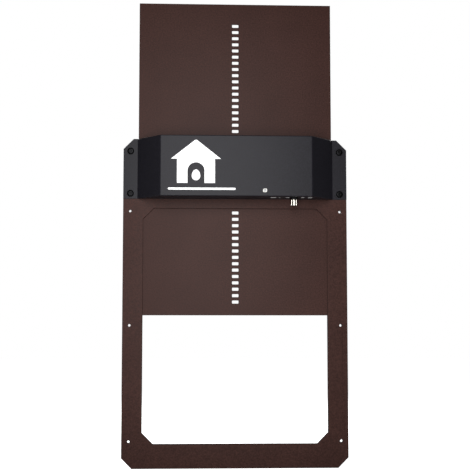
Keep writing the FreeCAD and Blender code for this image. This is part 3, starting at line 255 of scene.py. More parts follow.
# Nearly all of a noise texture's values lie in this span, which Map Range nodes spread out.
NOISE_SPAN = {"From Min": 0.3, "From Max": 0.7}


def add_node(tree, kind, inputs=None, **settings):
    """Adds one shader node, sets its properties, and fills or links its inputs."""
    made = tree.nodes.new(kind)
    for name, value in settings.items():
        setattr(made, name, value)
    for name, value in (inputs or {}).items():
        if isinstance(value, bpy.types.NodeSocket):
            tree.links.new(value, made.inputs[name])
        else:
            made.inputs[name].default_value = value
    return made


def start_finish(name):
    """A new material with its node tree, its shader and the object's own coordinates."""
    material = bpy.data.materials.new(name)
    material.use_nodes = True
    tree = material.node_tree
    coordinates = add_node(tree, "ShaderNodeTexCoord")
    return material, tree, tree.nodes["Principled BSDF"], coordinates.outputs["Object"]


def scaled(colour, factor):
    """A linear colour made lighter or darker."""
    return [min(1.0, part * factor) for part in list(colour)[:3]] + [1.0]


def powder_coat(name, colour, roughness, gloss, painted_edge_shade=1.0):
    """Polyester powder cured on sheet metal: a matt film with fine grit and a faint drift of tone.
    The real grit is about 0.3 mm, too fine to show, so it is drawn 1.9 mm wide. On cut edges the
    colour is darkened as painted shade, standing in for the dark shadow lines along the sheets'
    edges; the edge argument gives the tone there."""
    if name in bpy.data.materials:
        return bpy.data.materials[name]
    material, tree, shader, place = start_finish(name)
    grit_width, grit_height, drift_width = 1.9 * MM, 0.12 * MM, 70 * MM
    pit_tone, crest_tone, roughness_spread = 0.66, 1.38, 0.06
    grit = add_node(tree, "ShaderNodeTexNoise", {
        "Vector": place, "Scale": 1 / grit_width, "Detail": 3.0, "Roughness": 0.65})
    drift = add_node(tree, "ShaderNodeTexNoise", {
        "Vector": place, "Scale": 1 / drift_width, "Detail": 3.0, "Roughness": 0.5})
    speckle = add_node(tree, "ShaderNodeMapRange", {"Value": grit.outputs[0], **NOISE_SPAN})
    grained = add_node(tree, "ShaderNodeMix", {
        0: speckle.outputs["Result"], 6: scaled(colour, pit_tone), 7: scaled(colour, crest_tone)},
        data_type="RGBA")
    drifting = add_node(tree, "ShaderNodeMapRange", {
        "Value": drift.outputs[0], **NOISE_SPAN, "To Min": 0.92, "To Max": 1.08})
    toned = add_node(tree, "ShaderNodeVectorMath", {
        0: grained.outputs[2], "Scale": drifting.outputs["Result"]}, operation="SCALE")
    # the sheets' flats look along Y, so a normal that leaves Y is on a cut edge, whose colour is
    # darkened here as painted shade
    facing = add_node(tree, "ShaderNodeSeparateXYZ", {"Vector": place.node.outputs["Normal"]})
    flatness = add_node(tree, "ShaderNodeMath", {0: facing.outputs["Y"]}, operation="ABSOLUTE")
    edge_shaded = add_node(tree, "ShaderNodeMapRange", {
        "Value": flatness.outputs[0], "From Min": 0.9, "From Max": 0.99,
        "To Min": painted_edge_shade, "To Max": 1.0})
    finished = add_node(tree, "ShaderNodeVectorMath", {
        0: toned.outputs["Vector"], "Scale": edge_shaded.outputs["Result"]}, operation="SCALE")
    dulled = add_node(tree, "ShaderNodeMapRange", {
        "Value": grit.outputs[0], **NOISE_SPAN,
        "To Min": roughness - roughness_spread, "To Max": roughness + roughness_spread})
    bump = add_node(tree, "ShaderNodeBump", {
        "Height": grit.outputs[0], "Strength": 0.35, "Distance": grit_height})
    tree.links.new(finished.outputs["Vector"], shader.inputs["Base Color"])
    tree.links.new(dulled.outputs["Result"], shader.inputs["Roughness"])
    tree.links.new(bump.outputs["Normal"], shader.inputs["Normal"])
    shader.inputs["IOR"].default_value = 1.5
    # the grit scatters most of the film's mirror light, which this level stands for
    shader.inputs["Specular IOR Level"].default_value = gloss
    return material


# Plain finishes: darker and lighter tone, pattern size in millimetres, the pattern's stretch along
# each axis, lowest and highest roughness, height of the relief in millimetres, metallic, IOR.
FINISHES = {
    # Rolled aluminium as it leaves the mill: soft grey, with faint streaks along the rolling.
    "aluminium_mill_rolled": ("#9c9ea1", "#c2c4c7", 1.6, (1, 1, 0.06), 0.34, 0.5, 0.02, 1.0, None),
    # Steel blackened in a hot bath: near black with a dull metal gleam on the rounded heads.
    "steel_black_oxide": ("#0d0d0e", "#1a1a1b", 2.2, (1, 1, 1), 0.3, 0.42, 0.02, 1.0, None),
    # Steel with bright zinc: light cool grey, slightly cloudy.
    "steel_zinc_plated": ("#9fa4aa", "#c8cdd2", 3.5, (1, 1, 1), 0.26, 0.42, 0.01, 1.0, None),
    # Ground steel shafts: fine rings round the axis that catch the light.
    "steel_ground": ("#a5a5a6", "#cfcfd0", 0.9, (1, 0.3, 0.3), 0.2, 0.34, 0.01, 1.0, None),
    # Nickel over steel or brass: warm bright grey with a soft mirror.
    "nickel_plated": ("#b4b0a8", "#dad6cd", 4.0, (1, 1, 1), 0.14, 0.26, 0.005, 1.0, None),
    # Turned brass: yellow metal with fine tool rings.
    "brass_turned": ("#a8843c", "#d8b66a", 0.8, (1, 1, 3), 0.2, 0.34, 0.02, 1.0, None),
    # Moulded acetal: slightly waxy white, nearly even.
    "acetal_moulded": ("#dcdad2", "#f0eee8", 6.0, (1, 1, 1), 0.3, 0.42, 0.02, 0.0, 1.48),
    # Moulded ABS with a spark-eroded grain: deep grey-black, dull.
    "abs_grained": ("#161617", "#242426", 0.9, (1, 1, 1), 0.42, 0.6, 0.05, 0.0, 1.53),
    # Moulded polyamide terminal blocks: clear mid green with a slight sheen.
    "polyamide_moulded": ("#1d6b34", "#2c8747", 3.0, (1, 1, 1), 0.3, 0.42, 0.02, 0.0, 1.53),
    # Shrunk PVC sleeve on the capacitors: dark blue-grey film.
    "pvc_sleeve": ("#1c212b", "#2b313e", 5.0, (1, 1, 1), 0.2, 0.3, 0.01, 0.0, 1.53),
    # Epoxy package of the chip: flat charcoal with a fine blast.
    "epoxy_moulded": ("#18181a", "#262629", 0.7, (1, 1, 1), 0.5, 0.66, 0.03, 0.0, 1.55),
    # Screen-printed ink: clean white with tiny pinholes of tone, a little satin.
    "ink_screen_printed": ("#f0f0f0", "#ffffff", 1.4, (1, 1, 1), 0.42, 0.54, 0.01, 0.0, 1.5),
}


def plain_finish(name):
    """The material that FINISHES describes under this name, made once."""
    if name in bpy.data.materials:
        return bpy.data.materials[name]
    dark, light, size, stretch, smoothest, roughest, relief, metallic, ior = FINISHES[name]
    material, tree, shader, place = start_finish(name)
    stretched = add_node(tree, "ShaderNodeMapping", {"Vector": place, "Scale": stretch})
    pattern = add_node(tree, "ShaderNodeTexNoise", {
        "Vector": stretched.outputs["Vector"], "Scale": 1 / (size * MM), "Detail": 4.0,
        "Roughness": 0.6})
    spread = add_node(tree, "ShaderNodeMapRange", {"Value": pattern.outputs[0], **NOISE_SPAN})
    tone = add_node(tree, "ShaderNodeMix", {
        0: spread.outputs["Result"], 6: linear(dark), 7: linear(light)}, data_type="RGBA")
    rough = add_node(tree, "ShaderNodeMapRange", {
        "Value": pattern.outputs[0], **NOISE_SPAN, "To Min": smoothest, "To Max": roughest})
    bump = add_node(tree, "ShaderNodeBump", {
        "Height": pattern.outputs[0], "Strength": 0.4, "Distance": relief * MM})
    tree.links.new(tone.outputs[2], shader.inputs["Base Color"])
    tree.links.new(rough.outputs["Result"], shader.inputs["Roughness"])
    tree.links.new(bump.outputs["Normal"], shader.inputs["Normal"])
    shader.inputs["Metallic"].default_value = metallic
    if ior:
        shader.inputs["IOR"].default_value = ior
    return material


def solder_mask():
    """Glass-fibre board under green solder mask: glossy deep green, with copper tracks that show
    through as lighter lines, 0.23 mm wide and 0.83 mm apart, and a faint cloud of glass weave."""
    name = "fr4_solder_mask"
    if name in bpy.data.materials:
        return bpy.data.materials[name]
    material, tree, shader, place = start_finish(name)
    pad_spacing, tracks_between, bare_share = 7.5 * MM, 9.0, 0.72
    weave_width, copper_height = 1.0 * MM, 0.035 * MM
    wander = add_node(tree, "ShaderNodeTexVoronoi", {
        "Vector": place, "Scale": 1 / pad_spacing}, distance="MANHATTAN", feature="F1")
    tracks = add_node(tree, "ShaderNodeMath", {
        0: wander.outputs["Distance"], 1: tracks_between}, operation="MULTIPLY")
    wave = add_node(tree, "ShaderNodeMath", {0: tracks.outputs[0]}, operation="FRACT")
    line = add_node(tree, "ShaderNodeMath", {
        0: wave.outputs[0], 1: bare_share}, operation="GREATER_THAN")
    weave = add_node(tree, "ShaderNodeTexNoise", {
        "Vector": place, "Scale": 1 / weave_width, "Detail": 2.0})
    ground = add_node(tree, "ShaderNodeMix", {
        0: weave.outputs[0], 6: linear("#0c3b1e"), 7: linear("#125028")}, data_type="RGBA")
    tone = add_node(tree, "ShaderNodeMix", {
        0: line.outputs[0], 6: ground.outputs[2], 7: linear("#2a7a43")}, data_type="RGBA")
    bump = add_node(tree, "ShaderNodeBump", {
        "Height": line.outputs[0], "Strength": 0.5, "Distance": copper_height})
    tree.links.new(tone.outputs[2], shader.inputs["Base Color"])
    tree.links.new(bump.outputs["Normal"], shader.inputs["Normal"])
    shader.inputs["Roughness"].default_value = 0.22
    shader.inputs["IOR"].default_value = 1.55
    return material


def cell_jacket():
    """Printed film round the cells: blue for most of the length, copper at the positive end, with
    a thin pale line between them and bare nickel-plated steel beyond the film."""
    name = "film_printed_cell"
    if name in bpy.data.materials:
        return bpy.data.materials[name]
    material, tree, shader, place = start_finish(name)
    low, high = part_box("battery_cells")
    axes = add_node(tree, "ShaderNodeSeparateXYZ", {"Vector": place})
    share = add_node(tree, "ShaderNodeMapRange", {
        "Value": axes.outputs["X"], "From Min": low.x, "From Max": high.x})
    bands = add_node(tree, "ShaderNodeValToRGB", {"Fac": share.outputs["Result"]})
    ramp = bands.color_ramp
    ramp.interpolation = "CONSTANT"
    steel, blue, pale, copper = (
        linear(code) for code in ("#b9b7b2", "#233a7c", "#d9dade", "#a9652f"))
    ramp.elements[0].color = steel
    ramp.elements[1].position, ramp.elements[1].color = 0.03, blue
    # each band's start, as a share of the cell's length
    for start, band in ((0.72, pale), (0.74, copper), (0.965, steel)):
        ramp.elements.new(start).color = band
    scuff_width = 5 * MM
    scuffs = add_node(tree, "ShaderNodeTexNoise", {
        "Vector": place, "Scale": 1 / scuff_width, "Detail": 5.0})
    rough = add_node(tree, "ShaderNodeMapRange", {
        "Value": scuffs.outputs[0], **NOISE_SPAN, "To Min": 0.16, "To Max": 0.34})
    tree.links.new(bands.outputs["Color"], shader.inputs["Base Color"])
    tree.links.new(rough.outputs["Result"], shader.inputs["Roughness"])
    shader.inputs["IOR"].default_value = 1.5
    return material


def resin_photocell():
    """Cadmium track under clear resin: a pale ceramic disc with a winding red-brown line, 0.5 mm
    wide, that shows through the light window."""
    name = "ceramic_under_resin"
    if name in bpy.data.materials:
        return bpy.data.materials[name]
    material, tree, shader, place = start_finish(name)
    # the wave texture repeats about three times over this width, so once each millimetre
    three_waves = 3.2 * MM
    track = add_node(tree, "ShaderNodeTexWave", {
        "Vector": place, "Scale": 1 / three_waves, "Distortion": 2.0, "Detail": 1.0})
    tone = add_node(tree, "ShaderNodeMix", {
        0: track.outputs[0], 6: linear("#d8b48a"), 7: linear("#7d3a22")}, data_type="RGBA")
    tree.links.new(tone.outputs[2], shader.inputs["Base Color"])
    shader.inputs["Roughness"].default_value = 0.2
    shader.inputs["Coat Weight"].default_value = 0.6
    shader.inputs["IOR"].default_value = 1.5
    return material


def clear_window():
    """Moulded clear acrylic: a pale glassy pane with a little haze, bright at its edges."""
    name = "acrylic_moulded_clear"
    if name in bpy.data.materials:
        return bpy.data.materials[name]
    material, tree, shader, place = start_finish(name)
    haze_width = 1.5 * MM
    haze = add_node(tree, "ShaderNodeTexNoise", {
        "Vector": place, "Scale": 1 / haze_width, "Detail": 3.0})
    rough = add_node(tree, "ShaderNodeMapRange", {
        "Value": haze.outputs[0], **NOISE_SPAN, "To Min": 0.08, "To Max": 0.2})
    tree.links.new(rough.outputs["Result"], shader.inputs["Roughness"])
    shader.inputs["Base Color"].default_value = linear("#b9bcc0")
    shader.inputs["Transmission Weight"].default_value = 0.6
    shader.inputs["IOR"].default_value = 1.49
    return material


# --- tools ---------------------------------------------------------------------------------------


def make_active(piece):
    """Leaves edit mode, deselects everything and selects only this piece."""
    if bpy.context.object and bpy.context.object.mode != "OBJECT":
        bpy.ops.object.mode_set(mode="OBJECT")
    bpy.ops.object.select_all(action="DESELECT")
    piece.select_set(True)
    bpy.context.view_layer.objects.active = piece


def start_piece(primitive, name, scale=(1, 1, 1), **settings):
    """Adds a primitive, scales it along its own axes, names it and leaves it in edit mode with
    nothing selected."""
    if bpy.context.object and bpy.context.object.mode != "OBJECT":
        bpy.ops.object.mode_set(mode="OBJECT")
    bpy.ops.object.select_all(action="DESELECT")
    primitive(**settings)
    piece = bpy.context.object
    piece.name = piece.data.name = name
    piece.scale = scale
    bpy.ops.object.transform_apply(location=True, rotation=True, scale=True)
    bpy.ops.object.mode_set(mode="EDIT")
    bpy.ops.mesh.select_all(action="DESELECT")
    return piece


def choose(piece, kind, test):
    """Selects the vertices, edges or faces of a piece in edit mode whose middle passes the test.
    A face's test is given its normal as well."""
    bpy.ops.mesh.select_mode(type={"verts": "VERT", "edges": "EDGE", "faces": "FACE"}[kind])
    mesh = bmesh.from_edit_mesh(piece.data)
    for part in getattr(mesh, kind):
        if kind == "verts":
            part.select_set(bool(test(part.co)))
        elif kind == "edges":
            part.select_set(bool(test(part.verts[0].co, part.verts[1].co)))
        else:
            part.select_set(bool(test(part.calc_center_median(), part.normal)))
    mesh.select_flush_mode()
    bmesh.update_edit_mesh(piece.data)


def choose_corners(piece):
    """Selects every vertex of a piece in edit mode."""
    choose(piece, "verts", lambda co: True)


def move(x=0.0, y=0.0, z=0.0):
    """Moves what is selected in edit mode."""
    bpy.ops.transform.translate(value=(x, y, z))


def extrude(x=0.0, y=0.0, z=0.0):
    """Extrudes what is selected in edit mode."""
    bpy.ops.mesh.extrude_region_move(TRANSFORM_OT_translate={"value": (x, y, z)})


def face_outwards():
    """Turns every face of the piece in edit mode outwards, and leaves all of it selected."""
    bpy.ops.mesh.select_all(action="SELECT")
    bpy.ops.mesh.normals_make_consistent(inside=False)


def join_all(pieces, name):
    """Joins pieces into the first of them, under this name."""
    make_active(pieces[0])
    for piece in pieces:
        piece.select_set(True)
    bpy.ops.object.join()
    joined = bpy.context.object
    joined.name = joined.data.name = name
    return joined


def combine(piece, tool, operation):
    """Cuts the tool out of the piece, or adds it, and removes the tool."""
    make_active(piece)
    joined = piece.modifiers.new("Combine", "BOOLEAN")
    joined.operation, joined.object, joined.solver = operation, tool, "EXACT"
    bpy.ops.object.modifier_apply(modifier=joined.name)
    bpy.data.objects.remove(tool)


def drill(piece, radius, start, end, sides=48):
    """Cuts a round hole with its axis from start to end."""
    along = end - start
    bit = start_piece(
        bpy.ops.mesh.primitive_cylinder_add, "drill", vertices=sides, radius=radius,
        depth=along.length, location=(start + end) / 2,
        rotation=along.to_track_quat("Z", "Y").to_euler())
    combine(piece, bit, "DIFFERENCE")


def round_edges(piece, radius, steps=3, sharper_than=55):
    """Rounds a piece's sharp edges, given in degrees, and leaves its flats shaded flat."""
    smooth_below = math.radians(38)
    make_active(piece)
    rounding = piece.modifiers.new("Edges", "BEVEL")
    rounding.width, rounding.segments = radius, steps
    rounding.limit_method, rounding.angle_limit = "ANGLE", math.radians(sharper_than)
    rounding.use_clamp_overlap = False
    bpy.ops.object.modifier_apply(modifier=rounding.name)
    bpy.ops.object.shade_smooth_by_angle(angle=smooth_below)
    weighting = piece.modifiers.new("Flats", "WEIGHTED_NORMAL")
    weighting.keep_sharp = True
    bpy.ops.object.modifier_apply(modifier=weighting.name)


def worked_copy(node, name):
    """A copy of a CAD node's mesh with its own data, merged and cleared of needless edges."""
    merged_within, flat_within = 0.002 * MM, math.radians(0.5)
    make_active(frame["nodes"][node])
    bpy.ops.object.duplicate()
    piece = bpy.context.object
    piece.name = piece.data.name = name
    bpy.ops.object.parent_clear(type="CLEAR_KEEP_TRANSFORM")
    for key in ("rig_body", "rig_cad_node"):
        del piece[key]
    if piece.data.has_custom_normals:
        bpy.ops.mesh.customdata_custom_splitnormals_clear()
    bpy.ops.object.mode_set(mode="EDIT")
    bpy.ops.mesh.select_all(action="SELECT")
    bpy.ops.mesh.remove_doubles(threshold=merged_within)
    bpy.ops.mesh.dissolve_limited(angle_limit=flat_within)
    bpy.ops.object.mode_set(mode="OBJECT")
    return piece


def keep_inside(piece, node):
    """Brings vertices that the rounding pushed out by a hair back to the CAD node's box."""
    low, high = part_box(node)
    for vertex in piece.data.vertices:
        vertex.co = [min(max(at, least), most) for at, least, most in zip(vertex.co, low, high)]


def complete(piece, body, slot, material, *nodes):
    """Applies a piece's place, gives it its material and joins it to the frame."""
    make_active(piece)
    bpy.ops.object.transform_apply(location=True, rotation=True, scale=True)
    piece.data.materials.clear()
    piece.data.materials.append(material)
    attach(piece, body)
    if nodes:
        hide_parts(*nodes)


def paint(material, *nodes):
    """Gives CAD nodes that keep their shape a finished material."""
    for name in nodes:
        mesh = frame["nodes"][name].data
        mesh.materials.clear()
        mesh.materials.append(material)


def coat(context, colour):
    """The brown or the black powder coat."""
    finish = context.scene.coop_door.finish
    if colour == "brown":
        # the brown coat's cut edges are darkened to 0.35 of its colour as painted shade
        return powder_coat("polyester_powder_coat_brown", finish.brown,
                           roughness=0.42, gloss=0.07, painted_edge_shade=0.35)
    return powder_coat("polyester_powder_coat_black", finish.black, roughness=0.4, gloss=0.12)


# --- one operator for each piece or group of like pieces -----------------------------------------


class COOPDOOR_OT_frame_plates(Operator):
    """Models the two frame plates, the guide rails and the bottom stop between them"""

    bl_idname = "coop_door.frame_plates"
    bl_label = "Frame Plates"

    def execute(self, context):
        radius = context.scene.coop_door.plates.edge_radius
        brown, bare = coat(context, "brown"), plain_finish("aluminium_mill_rolled")
        for node, name, slot, material in (
                ("front_frame", "frame_plate_front", "brown_coated_aluminium", brown),
                ("rear_frame", "frame_plate_rear", "brown_coated_aluminium", brown),
                ("guide_rail_left", "rail_left", "bare_aluminium", bare),
                ("guide_rail_right", "rail_right", "bare_aluminium", bare),
                ("bottom_stop", "stop_bar", "bare_aluminium", bare)):
            piece = worked_copy(node, name)
            round_edges(piece, radius)
            keep_inside(piece, node)
            complete(piece, "frame", slot, material, node)
        paint(bare, "sill_rivets", "side_rivets_left", "side_rivets_right", "top_rivets")
        paint(plain_finish("acetal_moulded"), "wear_pads")
        return {"FINISHED"}


class COOPDOOR_OT_panel(Operator):
    """Models the sliding panel with its column of slots"""

    bl_idname = "coop_door.panel"
    bl_label = "Sliding Panel"

    def execute(self, context):
        piece = worked_copy("door_panel", "sliding_panel")
        round_edges(piece, context.scene.coop_door.plates.edge_radius)
        keep_inside(piece, "door_panel")
        complete(piece, "door", "brown_coated_aluminium", coat(context, "brown"), "door_panel")
        return {"FINISHED"}


class COOPDOOR_OT_cover(Operator):
    """Models the folded sheet-metal cover with its slanted sides and two ears"""

    bl_idname = "coop_door.cover"
    bl_label = "Cover"

    def block(self, name, front, back, half_front, half_back, bottom, top, radius):
        """A block with slanted sides, rounded everywhere but round its open back."""
        piece = start_piece(
            bpy.ops.mesh.primitive_plane_add, name, size=2.0,
            location=(0, (front + back) / 2, bottom))
        bpy.ops.mesh.select_all(action="SELECT")
        bpy.ops.transform.resize(value=(half_back, (back - front) / 2, 1))
        choose(piece, "edges", lambda a, b: max(a.y, b.y) < (front + back) / 2)
        bpy.ops.transform.resize(value=(half_front / half_back, 1, 1))
        bpy.ops.mesh.select_all(action="SELECT")
        extrude(z=top - bottom)
        face_outwards()
        choose(piece, "edges", lambda a, b: min(a.y, b.y) < back - MM)
        bpy.ops.mesh.bevel(offset=radius, segments=4, profile=0.5, affect="EDGES")
        return piece

    def execute(self, context):
        sizes = context.scene.coop_door.cover
        sheet, (low, high) = sizes.sheet, COVER
        depth = high.y - low.y
        slope = (sizes.base_half - sizes.face_half) / depth
        wall = sheet * math.hypot(1, slope)
        cover = self.block("control_cover", low.y, high.y, sizes.face_half, sizes.base_half,
                           low.z, high.z, sizes.bend_radius)
        # the hollow runs out through the open back, so that no skin is left there
        beyond = 0.2 * MM
        hollow = self.block(
            "hollow", low.y + sheet, high.y + beyond, sizes.face_half + slope * sheet - wall,
            sizes.base_half - wall + slope * beyond, low.z + sheet, high.z - sheet, sheet / 3)
        combine(cover, hollow, "DIFFERENCE")
        for side in (-1, 1):
            inner, outer = sizes.base_half - wall, high.x
            ear = start_piece(
                bpy.ops.mesh.primitive_cube_add, "ear", size=1.0,
                location=(side * (inner + outer) / 2, high.y - sheet / 2, (low.z + high.z) / 2),
                scale=(outer - inner, sheet, high.z - low.z))
            bpy.ops.mesh.select_all(action="SELECT")
            bpy.ops.mesh.bisect(
                plane_co=(side * outer, high.y, high.z - sizes.ear_corner),
                plane_no=(side, 0, 1), use_fill=True, clear_outer=True)
            combine(cover, ear, "UNION")
        screws = context.scene.coop_door.screws
        for side in (-1, 1):
            for height in (screws.low, screws.high):
                drill(cover, sizes.ear_hole, Vector((side * screws.across, high.y + MM, height)),
                      Vector((side * screws.across, high.y - sheet - MM, height)))
        window_low, window_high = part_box("sensor_window")
        window = (window_low + window_high) / 2
        gap, pane_corner = 0.05 * MM, 0.8 * MM
        pane = start_piece(
            bpy.ops.mesh.primitive_cube_add, "pane", size=1.0, location=(window.x, low.y, window.z),
            scale=(window_high.x - window_low.x + 2 * gap, 4 * sheet,
                   window_high.z - window_low.z + 2 * gap))
        choose(pane, "edges", lambda a, b: abs(a.y - b.y) > sheet)
        bpy.ops.mesh.bevel(offset=pane_corner, segments=5, affect="EDGES")
        combine(cover, pane, "DIFFERENCE")
        nut_low, nut_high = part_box("selector_nut")
        nut, bush_hole = (nut_low + nut_high) / 2, 3.6 * MM
        drill(cover, bush_hole, Vector((nut.x, nut.y, low.z - MM)),
              Vector((nut.x, nut.y, low.z + sheet + MM)))
        round_edges(cover, radius=0.15 * MM, steps=2, sharper_than=44)
        keep_inside(cover, "cover")
        complete(cover, "frame", "black_coated_steel", coat(context, "black"), "cover")
        return {"FINISHED"}


class COOPDOOR_OT_cover_screws(Operator):
    """Models one black button-head screw and sets four of them in the cover's ears"""

    bl_idname = "coop_door.cover_screws"
    bl_label = "Cover Screws"

    def execute(self, context):
        sizes = context.scene.coop_door.screws
        low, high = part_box("cover_screws")
        seat = COVER[1].y - context.scene.coop_door.cover.sheet
        rim, socket_depth = 0.25 * sizes.head_height, 1.6 * MM
        screw = start_piece(
            bpy.ops.mesh.primitive_cylinder_add, "cover_screws_black", vertices=64,
            radius=sizes.head_radius, depth=rim, location=(0, seat - rim / 2, 0),
            rotation=FACE_ON)
        choose(screw, "faces", lambda middle, normal: normal.y < -FACING)
        # the crown is a quarter of an ellipse, from the rim to the flat round the socket
        flat = 0.5 * sizes.head_radius
        reach, rise = sizes.head_radius - flat, sizes.head_height - rim
        rings = 7
        for ring in range(rings):
            before, after = (QUARTER_TURN * part / rings for part in (ring, ring + 1))
            bpy.ops.mesh.inset(thickness=reach * (math.cos(before) - math.cos(after)))
            move(y=-rise * (math.sin(after) - math.sin(before)))
        choose(screw, "faces", lambda middle, normal: normal.y > FACING)
        bpy.ops.mesh.inset(thickness=sizes.head_radius - sizes.shank_radius)
        extrude(y=high.y - seat)
        bore = start_piece(
            bpy.ops.mesh.primitive_cylinder_add, "socket", vertices=6,
            radius=sizes.socket / math.sqrt(3), depth=2 * socket_depth,
            location=(0, low.y, 0), rotation=FACE_ON)
        combine(screw, bore, "DIFFERENCE")
        round_edges(screw, radius=0.12 * MM, steps=2, sharper_than=50)
        copies = []
        for side in (-1, 1):
            for height in (sizes.low, sizes.high):
                make_active(screw)
                bpy.ops.object.duplicate()
                bpy.ops.transform.translate(value=(side * sizes.across, 0, height))
                copies.append(bpy.context.object)
        bpy.data.objects.remove(screw)
        complete(join_all(copies, "cover_screws_black"), "frame", "black_steel",
                 plain_finish("steel_black_oxide"), "cover_screws")
        return {"FINISHED"}


class COOPDOOR_OT_light_sensor(Operator):
    """Models the light sensor's bezel and window and finishes what is behind them"""

    bl_idname = "coop_door.light_sensor"
    bl_label = "Light Sensor"

    def execute(self, context):
        bezel = worked_copy("sensor_bezel", "light_bezel")
        round_edges(bezel, radius=0.12 * MM)
        complete(bezel, "frame", "white_plastic", plain_finish("acetal_moulded"), "sensor_bezel")
        window = worked_copy("sensor_window", "light_window")
        round_edges(window, radius=0.1 * MM)
        complete(window, "frame", "smoke_window", clear_window(), "sensor_window")
        paint(plain_finish("abs_grained"), "sensor_holder")
        paint(solder_mask(), "sensor_board")
        paint(resin_photocell(), "photocell")
        return {"FINISHED"}


class COOPDOOR_OT_selector(Operator):
    """Models the knurled knob and the nut on the cover's underside"""

    bl_idname = "coop_door.selector"
    bl_label = "Selector"

    def execute(self, context):
        sizes = context.scene.coop_door.selector
        low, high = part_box("selector_knob")
        nut_low, nut_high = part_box("selector_nut")
        centre = (nut_low + nut_high) / 2
        length, stem_radius, nut_bore = 8.4 * MM, 1.5 * MM, 3.5 * MM
        groove_depth, groove_middle, groove_length = 0.9 * MM, 2.9 * MM, 8.0 * MM
        # each end is domed in two steps: the share of the width that each keeps, and its rise
        domes = ((0.93, 0.2 * MM), (0.86, 0.08 * MM))
        top, eased = low.z + length, sum(rise for share, rise in domes)
        knob = start_piece(
            bpy.ops.mesh.primitive_cylinder_add, "knob_knurled", vertices=4 * sizes.knurls,
            radius=sizes.knob_radius, depth=top - low.z - 2 * eased,
            location=(centre.x, centre.y, (low.z + top) / 2))

        def in_valley(a, b):
            """Whether this upright edge, one of four to a ridge, is pressed in."""
            turned = math.atan2(a.y - centre.y, a.x - centre.x) / math.tau
            return abs(a.z - b.z) > MM and round(turned * 4 * sizes.knurls) % 4 in (0, 1)

        choose(knob, "edges", in_valley)
        share = 1 - sizes.knurl_depth / sizes.knob_radius
        bpy.ops.transform.resize(value=(share, share, 1), center_override=centre)
        for side in (-1, 1):
            choose(knob, "faces", lambda middle, normal: normal.z * side > FACING)
            for share, rise in domes:
                extrude(z=side * rise)
                bpy.ops.transform.resize(value=(share, share, 1), center_override=centre)
        groove = start_piece(
            bpy.ops.mesh.primitive_cube_add, "groove", size=1.0,
            location=(centre.x, centre.y - sizes.knob_radius, low.z + groove_middle),
            scale=(sizes.groove, 2 * groove_depth, groove_length))
        combine(knob, groove, "DIFFERENCE")
        stem = start_piece(
            bpy.ops.mesh.primitive_cylinder_add, "stem", vertices=48, radius=stem_radius,
            depth=high.z - top + MM, location=(centre.x, centre.y, (high.z + top - MM) / 2))
        combine(knob, stem, "UNION")
        make_active(knob)
        bpy.ops.object.shade_smooth_by_angle(angle=math.radians(30))
        complete(knob, "selector", "bright_nickel", plain_finish("nickel_plated"), "selector_knob")
        nut = start_piece(
            bpy.ops.mesh.primitive_cylinder_add, "nut_hexagon", vertices=6,
            radius=sizes.nut_flats / math.sqrt(3), depth=nut_high.z - nut_low.z, location=centre,
            rotation=(0, 0, math.radians(30)))
        drill(nut, nut_bore, Vector((centre.x, centre.y, nut_low.z - MM)),
              Vector((centre.x, centre.y, nut_high.z + MM)))
        round_edges(nut, radius=0.22 * MM, steps=3, sharper_than=50)
        complete(nut, "frame", "black_steel", plain_finish("steel_black_oxide"), "selector_nut")
        paint(plain_finish("abs_grained"), "selector_switch")
        return {"FINISHED"}


